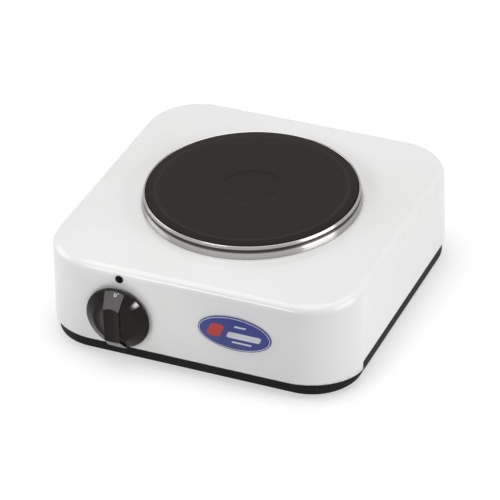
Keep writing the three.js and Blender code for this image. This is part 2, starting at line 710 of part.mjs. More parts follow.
function cookingPlate() {
  const boreTop = plateUnder + CHANNEL_DEPTH;
  const bore = STUD_RADIUS + CLEARANCE;
  const borderLow = plateTop - PLATE_BORDER_DROP;
  const profile = [
    [0, boreTop],
    [bore, boreTop],
    [bore, plateUnder - BOSS_DEPTH],
    [BOSS_RADIUS, plateUnder - BOSS_DEPTH],
    [BOSS_RADIUS, plateUnder],
    [channelInner, plateUnder],
    [channelInner, plateUnder + CHANNEL_DEPTH],
    [channelOuter, plateUnder + CHANNEL_DEPTH],
    [channelOuter, plateUnder],
    [plateBody, plateUnder],
    [plateBody, rimUnder],
    [PLATE_RADIUS, rimUnder],
    [PLATE_RADIUS, borderLow - PLATE_EDGE],
    [PLATE_RADIUS - PLATE_EDGE, borderLow],
    [PLATE_RADIUS - PLATE_BORDER, plateTop],
    [DIMPLE_RADIUS, plateTop],
    [DIMPLE_RADIUS - DIMPLE_DEPTH, plateTop - DIMPLE_DEPTH],
    [0, plateTop - DIMPLE_DEPTH],
  ];
  return turned(profile, "up");
}

// The bright ring around the plate: a flange under the rim, a bead around the edge, a crease and a skirt.
function spillRing() {
  const beadInner = PLATE_RADIUS + CLEARANCE;
  const beadOuter = beadInner + RING_BEAD;
  const footOuter = beadOuter + RING_FLARE;
  const crest = plateTop - RING_BEAD_DROP;
  const crease = crest - RING_CREASE;
  const foot = HOUSING_TOP + CLEARANCE;
  const middle = (foot + crease) / 2;
  const middleOuter = (beadOuter + footOuter) / 2;
  const flangeTop = rimUnder - CLEARANCE;
  const flangeInner = plateBody + CLEARANCE;
  const waist = beadInner + RING_SHEET + CLEARANCE;
  const profile = [
    [footOuter - RING_SHEET, foot],
    [footOuter, foot],
    [middleOuter, middle],
    [waist, crease],
    [beadOuter, crease + RING_CREASE / 2],
    [beadOuter - RING_BEAD / 4, crest - RING_CREASE / 8],
    [beadInner + RING_BEAD / 2, crest],
    [beadInner, crest - RING_CREASE / 4],
    [beadInner, flangeTop],
    [flangeInner, flangeTop],
    [flangeInner, flangeTop - RING_SHEET],
    [beadInner, flangeTop - RING_SHEET],
    [middleOuter - RING_SHEET, middle],
    [footOuter - RING_SHEET, foot],
  ];
  return turned(profile, "up");
}

// ------------------------------------------------ coil, insulation and cover, about the plate's axis

// The route of the heating coil: a flat spiral that starts and ends over the terminal block.
class CoilRoute extends THREE.Curve {
  getPoint(share, target = new THREE.Vector3()) {
    const angle = Math.PI / 2 + share * COIL_TURNS * 2 * Math.PI;
    const radius = COIL_OUTER + (COIL_INNER - COIL_OUTER) * share;
    const height = plateUnder + CHANNEL_DEPTH / 2;
    return target.set(radius * Math.cos(angle), radius * Math.sin(angle), height);
  }
}

// A rod at each of the coil's two ends.
function tailRods(radius, low, high) {
  return COIL_TAILS.map((y) => rod(radius, low, high, "up", [0, y, 0]));
}

function heatingCoil() {
  const spiral = routed(new CoilRoute(), COIL_WIRE, LEAD_SIDES, COIL_STEPS);
  const tailEnd = blockTop - PLATE_BLOCK_HEIGHT / 2 + CLEARANCE;
  return joined([spiral, ...tailRods(TAIL_RADIUS, tailEnd, plateUnder + CHANNEL_DEPTH / 2)]);
}

function insulationDisc() {
  const low = insulationTop - INSULATION_THICKNESS;
  const hole = BOSS_RADIUS + CLEARANCE;
  const profile = [
    [hole, low],
    [insulationRadius, low],
    [insulationRadius, insulationTop],
    [hole, insulationTop],
    [hole, low],
  ];
  const disc = turned(profile, "up", ORIGIN, INNER_STEPS);
  return joined([disc], tailRods(TAIL_RADIUS + CLEARANCE, low - CUT_MARGIN, insulationTop + CUT_MARGIN));
}

function plateCover() {
  const hole = STUD_RADIUS + CLEARANCE;
  const inner = insulationRadius + CLEARANCE;
  const outer = inner + COVER_SHEET;
  const profile = [
    [hole, coverUnder],
    [outer, coverUnder],
    [outer, insulationTop],
    [inner, insulationTop],
    [inner, coverTop],
    [hole, coverTop],
    [hole, coverUnder],
  ];
  const dish = turned(profile, "up", ORIGIN, INNER_STEPS);
  const tailHole = TAIL_RADIUS + 3 * CLEARANCE;
  return joined([dish], tailRods(tailHole, coverUnder - CUT_MARGIN, coverTop + CUT_MARGIN));
}

function plateTerminalBlock() {
  const body = block(
    -PLATE_BLOCK_WIDTH / 2,
    PLATE_BLOCK_WIDTH / 2,
    COIL_INNER - PLATE_BLOCK_MARGIN,
    COIL_OUTER + PLATE_BLOCK_MARGIN,
    blockUnder,
    blockTop,
  );
  return joined([body], tailRods(TAIL_RADIUS + CLEARANCE, blockUnder - CUT_MARGIN, blockTop + CUT_MARGIN));
}

// ------------------------------------------------ stud, bridge and shield, about the plate's axis

function plateStud() {
  const top = plateUnder + CHANNEL_DEPTH - CLEARANCE;
  return rod(STUD_RADIUS, nutTop - NUT_THICKNESS - STUD_SPARE, top, "up", ORIGIN, BORE_STEPS);
}

// The strap under the plate: its middle hangs on the stud,
// and its end pads press up under the housing's top face.
function clampingBridge() {
  const padUnder = HOUSING_TOP - SHEET - CLEARANCE - BRIDGE_SHEET;
  const padStart = openingRadius + BRIDGE_PAD_GAP;
  const padEnd = padStart + BRIDGE_PAD_LENGTH;
  const knee = padStart - BRIDGE_KNEE_RUN;
  const kneeUnder = bridgeUnder + BRIDGE_KNEE_RISE;
  const lower = [
    [BRIDGE_MIDDLE, bridgeUnder],
    [knee, kneeUnder],
    [padStart, padUnder],
    [padEnd, padUnder],
  ];
  const upper = [
    [padEnd, padUnder + BRIDGE_SHEET],
    [padStart - BRIDGE_SHEET / 2, padUnder + BRIDGE_SHEET],
    [knee - BRIDGE_SHEET, kneeUnder + BRIDGE_SHEET],
    [BRIDGE_MIDDLE, bridgeUnder + BRIDGE_SHEET],
  ];
  const right = [...lower, ...upper];
  const left = right.map(([u, v]) => [-u, v]).reverse();
  const strap = pulled(shapeOf([...right, ...left]), "y", -BRIDGE_WIDTH / 2, BRIDGE_WIDTH / 2);
  const low = bridgeUnder - CUT_MARGIN;
  const high = bridgeUnder + BRIDGE_SHEET + CUT_MARGIN;
  const studHole = rod(STUD_RADIUS + CLEARANCE, low, high, "up", ORIGIN, BORE_STEPS);
  const earthHole = rod(EARTH_SCREW_RADIUS + CLEARANCE, low, high, "up", [EARTH_SCREW_X, 0, 0]);
  return joined([strap], [studHole, earthHole]);
}

// A flat ring or nut on the stud.
function studRing(radius, low, high, steps) {
  const outside = rod(radius, low, high, "up", ORIGIN, steps);
  const bore = rod(STUD_RADIUS + CLEARANCE, low - CUT_MARGIN, high + CUT_MARGIN, "up", ORIGIN, BORE_STEPS);
  return joined([outside], [bore]);
}

function heatShield() {
  const lipInner = shieldRadius - SHIELD_SHEET;
  const profile = [
    [SHIELD_VENT, SHIELD_HEIGHT],
    [shieldRadius, SHIELD_HEIGHT],
    [shieldRadius, SHIELD_HEIGHT + SHIELD_LIP],
    [lipInner, SHIELD_HEIGHT + SHIELD_LIP],
    [lipInner, shieldTop],
    [SHIELD_VENT, shieldTop],
    [SHIELD_VENT, SHIELD_HEIGHT],
  ];
  const dish = turned(profile, "up", ORIGIN, INNER_STEPS);
  const holes = SHIELD_PLACES.map(([x, y]) =>
    rod(SHIELD_SCREW_RADIUS + CLEARANCE, SHIELD_HEIGHT - CUT_MARGIN, shieldTop + CUT_MARGIN, "up", [x, y, 0]),
  );
  return joined([dish], holes);
}

// ------------------------------------------------ thermostat, shaft and knob, about the knob's axis

function thermostatHousing() {
  const halfWidth = THERMOSTAT_WIDTH / 2;
  const halfHeight = thermostatHeight / 2;
  const body = block(-halfWidth, halfWidth, -thermostatFront, -thermostatBack, -halfHeight, halfHeight);
  const chamber = block(
    -chamberHalfWidth,
    chamberHalfWidth,
    -chamberFront,
    -thermostatBack + CUT_MARGIN,
    -chamberHalfHeight,
    chamberHalfHeight,
  );
  const high = thermostatFront + CUT_MARGIN;
  const bore = rod(SHAFT_RADIUS + CLEARANCE, thermostatBack, high, "front", ORIGIN, BORE_STEPS);
  const screwEnd = wallScrewFace - WALL_SCREW_LENGTH - CLEARANCE;
  const screwHoles = [-1, 1].map((side) =>
    rod(WALL_SCREW_RADIUS + CLEARANCE, screwEnd, high, "front", [(side * WALL_SCREW_SPACING) / 2, 0, 0]),
  );
  return joined([body], [chamber, bore, ...screwHoles]);
}

function controlShaft() {
  const end = knobBack + SHAFT_REACH;
  const bar = rod(SHAFT_RADIUS, camBack - CLEARANCE, end, "front", ORIGIN, BORE_STEPS);
  const past = 2 * SHAFT_RADIUS;
  const flat = block(-past, past, -end - CUT_MARGIN, -knobBack, -past, -shaftFlat);
  return joined([bar], [flat]);
}

// The cam on the shaft's inner end: a disc with an offset lobe.
function controlCam() {
  const front = camBack + CAM_THICKNESS;
  const disc = rod(camRadius, camBack, front, "front", ORIGIN, BORE_STEPS);
  const lobe = rod(camRadius, camBack, front, "front", [0, 0, -CAM_LIFT], BORE_STEPS);
  const boreRadius = SHAFT_RADIUS + CLEARANCE;
  const bore = rod(boreRadius, camBack - CUT_MARGIN, front + CUT_MARGIN, "front", ORIGIN, BORE_STEPS);
  return joined([disc, lobe], [bore]);
}

// A contact: an upright blade beside the cam, with a tab out of the back of the chamber at one height.
function contactBlade(x, tabMiddle) {
  const front = -(chamberFront - CLEARANCE);
  const tall = chamberHalfHeight - CLEARANCE;
  const half = BLADE_WIDTH / 2;
  const upright = block(x, x + BLADE_SHEET, front, front + BLADE_WIDTH, -tall, tall);
  const tab = block(x, x + BLADE_SHEET, front, -tabBack, tabMiddle - half, tabMiddle + half);
  return joined([upright, tab]);
}

// The knob's round part, with its back face at height 0.
function knobSkirt() {
  const front = KNOB_RADIUS - KNOB_TAPER;
  const profile = [
    [0, 0],
    [KNOB_RADIUS, 0],
    [front, KNOB_SKIRT],
    [front - KNOB_SHOULDER, KNOB_SKIRT + KNOB_SHOULDER_DEPTH],
    [0, KNOB_FACE],
  ];
  return turned(profile, "front", [0, -knobBack, 0], KNOB_STEPS);
}

// The bar across the knob's face: a ridge with a shallow channel and a ramp at each end, narrower at the
// top than at its root, and ending flush with the skirt.
function knobGrip() {
  const reach = KNOB_RADIUS - KNOB_TAPER;
  const low = -knobBack - KNOB_SKIRT / 2;
  const foot = -knobBack - KNOB_SKIRT - GRIP_END_FACE;
  const ridge = -knobBack - KNOB_DEPTH;
  const side = [
    [low, -reach],
    [low, reach],
    [foot, reach],
    [ridge, reach - GRIP_RAMP_UP],
    [ridge, GRIP_RAMP_DOWN - reach],
    [foot, -reach],
  ];
  const across = [
    [-GRIP_ROOT / 2, low],
    [-GRIP_WIDTH / 2, ridge],
    [GRIP_LIP - GRIP_WIDTH / 2, ridge],
    [0, ridge + GRIP_CHANNEL],
    [GRIP_WIDTH / 2 - GRIP_LIP, ridge],
    [GRIP_WIDTH / 2, ridge],
    [GRIP_ROOT / 2, low],
  ];
  const sidePull = pulled(shapeOf(side), "x", -GRIP_ROOT, GRIP_ROOT);
  const acrossPull = pulled(shapeOf(across), "z", -KNOB_RADIUS, KNOB_RADIUS);
  const round = rod(reach, knobBack, knobBack + KNOB_DEPTH + CUT_MARGIN, "front", ORIGIN, KNOB_STEPS);
  return sidePull.intersect(acrossPull).intersect(round);
}

function controlKnob() {
  const hub = SHAFT_RADIUS + CLEARANCE + KNOB_HUB_WALL;
  const rim = KNOB_RADIUS - KNOB_WALL;
  const hollowProfile = [
    [hub, -CUT_MARGIN],
    [rim, -CUT_MARGIN],
    [rim, HOLLOW_STEP],
    [rim - HOLLOW_SLOPE, KNOB_HOLLOW],
    [hub, KNOB_HOLLOW],
    [hub, -CUT_MARGIN],
  ];
  const hollow = turned(hollowProfile, "front", [0, -knobBack, 0], KNOB_STEPS);
  const boreEnd = knobBack + SHAFT_REACH + CLEARANCE;
  const bore = rod(SHAFT_RADIUS + CLEARANCE, knobBack - CUT_MARGIN, boreEnd, "front", ORIGIN, BORE_STEPS);
  return joined([knobSkirt(), knobGrip()], [hollow, bore]);
}

// The leaf between the shaft's flat and the knob's bore, which holds the knob on.
function springClip() {
  return block(
    -CLIP_WIDTH / 2,
    CLIP_WIDTH / 2,
    -knobBack - SHAFT_REACH + CLEARANCE,
    -knobBack - CLEARANCE,
    -clipLow,
    -clipLow + CLIP_SHEET,
  );
}

// ------------------------------------------------ pilot lamp, about the lens's axis

function pilotLens() {
  const profile = [
    [0, -LENS_STEM_LENGTH],
    [LENS_STEM, -LENS_STEM_LENGTH],
    [LENS_STEM, 0],
    [LENS_RADIUS, 0],
    [LENS_RADIUS, LENS_PROUD / 3],
    [LENS_RADIUS * LENS_CHAMFER, LENS_PROUD],
    [0, LENS_PROUD],
  ];
  return turned(profile, "front", [0, -lensFace, 0], BORE_STEPS);
}

// One of the two fine leads between the lamp's back and the top of the thermostat.
function lampLead() {
  const thermostatTop = KNOB_HEIGHT + thermostatHeight / 2 + CLEARANCE - lensHeight;
  const turn = 4 * LAMP_LEAD_RADIUS;
  const route = [
    [0, -lampBack + CLEARANCE, 0],
    [0, -lampBack + turn, 0],
    [0, -thermostatBack - turn, thermostatTop + turn],
    [0, -thermostatBack - turn, thermostatTop],
  ];
  return lead(route, LAMP_LEAD_RADIUS, LAMP_LEAD_STRIDE);
}

// ------------------------------------------------ mains block and inlet, about the inlet's middle plane

function mainsTerminalBlock() {
  const body = block(-mainsHalfWidth, mainsHalfWidth, mainsFront, mainsRear, mainsUnder, mainsTop);
  const tools = [];
  for (const x of POLES) {
    const place = [x, 0, poleHeight];
    tools.push(rod(POLE_BORE, mainsFront - CUT_MARGIN, mainsFront + POLE_BORE_DEPTH, "back", place));
    tools.push(rod(POLE_BORE, mainsRear - POLE_BORE_DEPTH, mainsRear + CUT_MARGIN, "back", place));
  }
  const headLow = mainsTop - BLOCK_SCREW_HEAD_DEPTH - CLEARANCE;
  const high = mainsTop + CUT_MARGIN;
  for (const { x } of BLOCK_SCREWS) {
    const place = [x, mainsMiddle, 0];
    tools.push(rod(BLOCK_SCREW_RADIUS + CLEARANCE, mainsUnder - CUT_MARGIN, high, "up", place));
    tools.push(rod(BLOCK_SCREW_HEAD + CLEARANCE, headLow, high, "up", place));
  }
  return joined([body], tools);
}

// The rubber bush that the mains cord enters through, set in the rear wall.
const inletOutside = wallOuter(INLET_HEIGHT - inletFlange) + CLEARANCE;
const inletInside = wallInner(INLET_HEIGHT + inletFlange) - CLEARANCE;
function inletGrommet() {
  const profile = [
    [INLET_BORE, inletInside - INLET_LIP_DEPTH],
    [inletFlange, inletInside - INLET_LIP_DEPTH],
    [inletFlange, inletInside],
    [inletNeck, inletInside],
    [inletNeck, inletOutside],
    [inletFlange, inletOutside],
    [inletFlange - INLET_LIP_DEPTH / 2, inletOutside + INLET_LIP_DEPTH],
    [INLET_BORE, inletOutside + INLET_LIP_DEPTH],
    [INLET_BORE, inletInside - INLET_LIP_DEPTH],
  ];
  return turned(profile, "back", ORIGIN, BORE_STEPS);
}

// ------------------------------------------------ leads, about the middle of the housing

// A lead through points chosen along its way.
function lead(points, radius = LEAD_RADIUS, stride = LEAD_STRIDE) {
  const curve = new THREE.CatmullRomCurve3(
    points.map(([x, y, z]) => new THREE.Vector3(x, y, z)),
    false,
    "centripetal",
  );
  return routed(curve, radius, LEAD_SIDES, Math.ceil(curve.getLength() / stride));
}

const bend = 4 * LEAD_RADIUS; // straight length that a lead keeps at each of its ends
const poleHeight = mainsUnder + MAINS_HEIGHT / 2;
const poleEnd = mainsFront + POLE_BORE_DEPTH - CLEARANCE;
const tailEntry = blockTop - PLATE_BLOCK_HEIGHT / 2;
const tabEnd = CLEARANCE - tabBack;
const shieldEdge = shieldRadius + bend;
const aboveShield = SHIELD_HEIGHT + SHIELD_LIP + bend;
const underBridge = (aboveShield + bridgeUnder) / 2;

// The first points of a lead that comes straight out of one pole of the mains block.
function fromPole(x) {
  return [
    [x, poleEnd, poleHeight],
    [x, mainsFront, poleHeight],
    [x, mainsFront - LEAD_RADIUS, poleHeight],
    [x, mainsFront - bend, poleHeight + bend],
  ];
}

// The last points of a lead that goes straight up into the terminal block under the plate.
function toTail(y) {
  return [
    [0, y, blockUnder - bend],
    [0, y, blockUnder - LEAD_RADIUS],
    [0, y, tailEntry],
  ];
}

// The end of a lead at the tab of a contact.
function toTab(bladeX, tabMiddle) {
  const x = KNOB_X + bladeX + BLADE_SHEET / 2;
  const z = KNOB_HEIGHT + tabMiddle;
  return [
    [x, tabEnd + bend, z],
    [x, tabEnd, z],
  ];
}

const [livePole, neutralPole, earthPole] = POLES.map((x) => MAINS_X + x);
const [neutralTail, switchedTail] = COIL_TAILS.map((y) => PLATE_SETBACK + y);

function liveLead() {
  return lead([
    ...fromPole(livePole),
    [livePole - bend, shieldEdge, aboveShield],
    [-shieldEdge * 0.6, shieldEdge * 0.8, aboveShield],
    [-shieldEdge, PLATE_SETBACK, aboveShield],
    [-shieldEdge * 0.8, -shieldEdge * 0.55, aboveShield],
    [KNOB_X, tabEnd + 3 * bend, aboveShield],
    ...toTab(fixedBladeX, fixedTab),
  ]);
}

function switchedLead() {
  return lead([
    ...toTab(movingBladeX, movingTab).reverse(),
    [KNOB_X + bend, -BRIDGE_MIDDLE, underBridge],
    [-BRIDGE_WIDTH, PLATE_SETBACK, underBridge],
    [-BRIDGE_WIDTH / 2, (PLATE_SETBACK + switchedTail) / 2, underBridge],
    ...toTail(switchedTail),
  ]);
}

function neutralLead() {
  return lead([
    ...fromPole(neutralPole),
    [neutralPole - bend, shieldEdge, aboveShield],
    [livePole, neutralTail + 2 * bend, underBridge],
    ...toTail(neutralTail),
  ]);
}

function earthLead() {
  const headLow = bridgeUnder - CLEARANCE - EARTH_SCREW_HEAD_DEPTH;
  return lead([
    ...fromPole(earthPole),
    [earthPole, shieldEdge, aboveShield],
    [earthPole, BRIDGE_WIDTH, aboveShield],
    [EARTH_SCREW_X, PLATE_SETBACK, headLow - bend],
    [EARTH_SCREW_X, PLATE_SETBACK, headLow - CLEARANCE],
  ]);
}

// ------------------------------------------------ front badge, about its own middle

function frontBadge() {
  const outline = new THREE.Shape();
  outline.absellipse(0, 0, BADGE_WIDTH / 2, BADGE_TALL / 2, 0, 2 * Math.PI, false, 0);
  return pulled(outline, "z", 0, BADGE_THICKNESS, BADGE_STEPS);
}

// ------------------------------------------------ the pieces by name, each in its place

// A group at a place, inside another one.
function groupAt(parent, x, y, z) {
  const group = new THREE.Group();
  group.position.set(x, y, z);
  parent.add(group);
  return group;
}

// Adds one piece to a group, and returns it to be placed.
function add(group, name, made, material) {
  const mesh = new THREE.Mesh(geometryOf(made), material);
  mesh.name = name;
  group.add(mesh);
  return mesh;
}

const assembly = new THREE.Group();
add(assembly, "housing_shell", housingShell(), ENAMEL);
add(assembly, "base_tray", baseTray(), BLACK_MOULDING);

for (const corner of CORNERS) {
  const group = groupAt(assembly, corner.x, corner.y, 0);
  add(group, `foot_${corner.name}`, rubberFoot(), RUBBER);
  add(group, `base_screw_${corner.name}`, baseScrew(), ZINC).position.z = screwSeat;
  const bracket = add(group, `shell_bracket_${corner.name}`, shellBracket(), ZINC);
  bracket.position.z = bracketUnder;
  bracket.rotation.z = corner.x < 0 ? Math.PI : 0;
}

const plateGroup = groupAt(assembly, 0, PLATE_SETBACK, 0);
add(plateGroup, "cooking_plate", cookingPlate(), CAST_IRON);
add(plateGroup, "spill_ring", spillRing(), BRIGHT_STEEL);
add(plateGroup, "heating_coil", heatingCoil(), COIL_SHEATH);
add(plateGroup, "insulation_disc", insulationDisc(), MICA);
add(plateGroup, "plate_cover", plateCover(), ZINC);
add(plateGroup, "plate_stud", plateStud(), ZINC);
add(plateGroup, "clamping_bridge", clampingBridge(), ZINC);
const washer = studRing(WASHER_RADIUS, washerTop - WASHER_THICKNESS, washerTop, BORE_STEPS);
add(plateGroup, "stud_washer", washer, ZINC);
const nut = studRing(NUT_RADIUS, nutTop - NUT_THICKNESS, nutTop, NUT_SIDES);
add(plateGroup, "stud_nut", nut, ZINC);
add(plateGroup, "plate_terminal_block", plateTerminalBlock(), PORCELAIN);
add(plateGroup, "heat_shield", heatShield(), ZINC);

const shieldScrew = {
  head: SHIELD_SCREW_HEAD,
  headDepth: SHIELD_SCREW_HEAD_DEPTH,
  shank: SHIELD_SCREW_RADIUS,
  length: SHIELD_SCREW_LENGTH,
};
SHIELD_PLACES.forEach(([x, y], index) => {
  const piece = add(plateGroup, `shield_screw_${index + 1}`, screw(shieldScrew, "up"), ZINC);
  piece.position.set(x, y, shieldTop + CLEARANCE);
  piece.rotation.x = Math.PI;
});

const earthScrew = {
  head: EARTH_SCREW_HEAD,
  headDepth: EARTH_SCREW_HEAD_DEPTH,
  shank: EARTH_SCREW_RADIUS,
  length: BRIDGE_SHEET + 2 * CUT_MARGIN,
};
const earthPiece = add(plateGroup, "earth_screw", screw(earthScrew, "up"), BRASS);
earthPiece.position.set(EARTH_SCREW_X, 0, bridgeUnder - CLEARANCE);

const controlGroup = groupAt(assembly, KNOB_X, 0, KNOB_HEIGHT);
add(controlGroup, "thermostat_housing", thermostatHousing(), PHENOLIC);
add(controlGroup, "moving_contact", contactBlade(movingBladeX, movingTab), BRASS);
add(controlGroup, "fixed_contact", contactBlade(fixedBladeX, fixedTab), BRASS);
add(controlGroup, "control_shaft", controlShaft(), ZINC);
add(controlGroup, "control_cam", controlCam(), PHENOLIC);
add(controlGroup, "control_knob", controlKnob(), KNOB_BLACK);
add(controlGroup, "knob_spring_clip", springClip(), ZINC);
const wallScrew = {
  head: WALL_SCREW_HEAD,
  headDepth: WALL_SCREW_HEAD_DEPTH,
  shank: WALL_SCREW_RADIUS,
  length: WALL_SCREW_LENGTH,
};
for (const [name, side] of [
  ["left", -1],
  ["right", 1],
]) {
  const piece = add(controlGroup, `thermostat_screw_${name}`, screw(wallScrew, "back"), ZINC);
  piece.position.set((side * WALL_SCREW_SPACING) / 2, -wallScrewFace, 0);
}

const lampGroup = groupAt(assembly, KNOB_X + LENS_SIDE, 0, lensHeight);
add(lampGroup, "pilot_lens", pilotLens(), SMOKED_LENS);
add(lampGroup, "pilot_lamp_body", rod(LAMP_RADIUS, lampBack, lampFront, "front"), LAMP_GLASS);
add(lampGroup, "lamp_lead_left", lampLead(), LEAD_BROWN).position.x = -LAMP_LEAD_SPREAD;
add(lampGroup, "lamp_lead_right", lampLead(), LEAD_BLUE).position.x = LAMP_LEAD_SPREAD;

const mainsGroup = groupAt(assembly, MAINS_X, 0, 0);
add(mainsGroup, "mains_terminal_block", mainsTerminalBlock(), PORCELAIN);
const blockScrewSeat = mainsTop - BLOCK_SCREW_HEAD_DEPTH;
const blockScrew = {
  head: BLOCK_SCREW_HEAD,
  headDepth: BLOCK_SCREW_HEAD_DEPTH,
  shank: BLOCK_SCREW_RADIUS,
  length: blockScrewSeat - FOOT_HEIGHT - CLEARANCE,
};
for (const { name, x } of BLOCK_SCREWS) {
  const piece = add(mainsGroup, `block_screw_${name}`, screw(blockScrew, "up"), ZINC);
  piece.position.set(x, mainsMiddle, blockScrewSeat);
  piece.rotation.x = Math.PI;
}
add(mainsGroup, "cord_inlet_grommet", inletGrommet(), RUBBER).position.z = INLET_HEIGHT;

add(assembly, "live_lead", liveLead(), LEAD_BROWN);
add(assembly, "switched_lead", switchedLead(), LEAD_BROWN);
add(assembly, "neutral_lead", neutralLead(), LEAD_BLUE);
add(assembly, "earth_lead", earthLead(), LEAD_GREEN);

// The badge leans back with the wall that it is stuck to.
const badge = add(assembly, "front_badge", frontBadge(), BADGE_BLUE);
badge.position.set(BADGE_X, -wallOuter(BADGE_HEIGHT) - CLEARANCE, BADGE_HEIGHT);
badge.rotation.x = Math.PI / 2 - Math.atan2(HOUSING_LEAN, foldStart - housingLow);

// The origin is at the middle of the whole footprint, knob and cord inlet included, on the rest plane.
assembly.position.y = (knobBack + KNOB_DEPTH - inletOutside - INLET_LIP_DEPTH) / 2;

export default assembly;
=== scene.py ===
"""The looks of a single electric hot plate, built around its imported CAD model.

A cast-iron cooking plate in a bright ring stands out of a white enamelled housing. The housing
sits on a black moulded base. A black knob, with a pilot lens above it, is on the front, at -Y.
Lengths are in metres, +Z is up, and every place is worked out from the boxes of the CAD nodes.
"""

import functools
import logging
import math
from collections.abc import Iterable, Mapping, Sequence
from dataclasses import dataclass, field
from enum import Enum
from typing import Any, Optional, Union

import bmesh
import bpy
from mathutils import Matrix, Quaternion, Vector


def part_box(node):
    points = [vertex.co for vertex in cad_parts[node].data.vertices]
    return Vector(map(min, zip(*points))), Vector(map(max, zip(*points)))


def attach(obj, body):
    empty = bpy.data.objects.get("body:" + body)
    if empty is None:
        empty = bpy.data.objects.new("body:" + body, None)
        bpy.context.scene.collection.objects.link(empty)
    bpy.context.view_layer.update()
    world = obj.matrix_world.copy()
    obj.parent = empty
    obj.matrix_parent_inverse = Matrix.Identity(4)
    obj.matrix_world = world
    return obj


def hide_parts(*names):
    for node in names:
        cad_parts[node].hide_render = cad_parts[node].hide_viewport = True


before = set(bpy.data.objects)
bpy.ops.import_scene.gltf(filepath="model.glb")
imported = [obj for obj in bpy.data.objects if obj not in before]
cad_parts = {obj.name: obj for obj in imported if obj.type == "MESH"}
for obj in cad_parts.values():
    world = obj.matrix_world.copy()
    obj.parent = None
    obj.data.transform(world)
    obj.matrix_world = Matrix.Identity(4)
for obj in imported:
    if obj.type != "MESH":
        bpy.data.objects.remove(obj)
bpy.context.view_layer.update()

log = logging.getLogger("hot_plate")

MM = 0.001
ON_AXIS = 1e-9  # a point nearer to the axis than this is on it
SAME_POINT = 1e-7  # points nearer to each other than this are one
EDGE_SHARE = 0.49  # how much of an edge the rounding of one corner may take
Colour = tuple[float, float, float, float]
Flat = tuple[float, float]
CORNERS = ("front_left", "front_right", "rear_left", "rear_right")
SIDES = ("left", "right")


class Body(Enum):
    """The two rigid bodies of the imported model."""

    APPLIANCE = "appliance"
    KNOB = "knob"


class Slot(Enum):
    """Names of material slots. Nothing in the script uses them."""

    ENAMEL = "white_enamel"
    MOULDING = "black_moulding"
    RUBBER = "rubber"
    ZINC = "zinc_steel"
    CAST_IRON = "cast_iron"
    BRIGHT_STEEL = "bright_steel"
    KNOB = "knob_black"
    LENS = "smoked_lens"
    BADGE = "badge_blue"


# ------------------------------------------------ node graphs


def tint(red: int, green: int, blue: int) -> Colour:
    """A colour for a shader.

    Args:
        red: Red as it shows on a screen, from 0 to 255.
        green: Green in the same way.
        blue: Blue in the same way.

    Returns:
        The colour in scene-linear values, with full alpha.
    """
    linear = [
        share / 12.92 if share <= 0.04045 else ((share + 0.055) / 1.055) ** 2.4
        for share in (red / 255, green / 255, blue / 255)
    ]
    return (linear[0], linear[1], linear[2], 1.0)


def grey(value: float) -> Colour:
    """A neutral colour of a linear value."""
    return (value, value, value, 1.0)


@dataclass(frozen=True)
class Wire:
    """An output socket, on which arithmetic adds Math nodes."""

    graph: "Graph"
    socket: bpy.types.NodeSocket

    def _math(self, operation: str, *values: "Value") -> "Wire":
        """Adds one Math node.

        Args:
            operation: The node's operation.
            values: Its inputs in order.

        Returns:
            The node's result.
        """
        return self.graph.node("ShaderNodeMath", {"operation": operation}, dict(enumerate(values)))

    def __add__(self, other: "Value") -> "Wire":
        """The sum."""
        return self._math("ADD", self, other)

    __radd__ = __add__

    def __sub__(self, other: "Value") -> "Wire":
        """The difference."""
        return self._math("SUBTRACT", self, other)

    def __rsub__(self, other: "Value") -> "Wire":
        """The difference, with the wire on the right."""
        return self._math("SUBTRACT", other, self)

    def __mul__(self, other: "Value") -> "Wire":
        """The product."""
        return self._math("MULTIPLY", self, other)

    __rmul__ = __mul__

    def __abs__(self) -> "Wire":
        """The size without its sign."""
        return self._math("ABSOLUTE", self)

    def sine(self) -> "Wire":
        """The sine of an angle in radians."""
        return self._math("SINE", self)

    def high(self, other: "Value") -> "Wire":
        """The larger of two values."""
        return self._math("MAXIMUM", self, other)

    def ramp(self, low: float, high: float) -> "Wire":
        """Rises smoothly from 0 to 1 as the value goes from low to high.

        Args:
            low: The value at which the result is 0.
            high: The value at which it is 1. It may be the smaller one.

        Returns:
            The result, held between 0 and 1.
        """
        settings = {"interpolation_type": "SMOOTHSTEP"}
        values = {"Value": self, "From Min": low, "From Max": high}
        return self.graph.node("ShaderNodeMapRange", settings, values)

    def port(self, name: str) -> "Wire":
        """Another output of the same node, by name."""
        return Wire(self.graph, self.socket.node.outputs[name])


Value = Union[Wire, float]
Paint = Union[Wire, Colour]


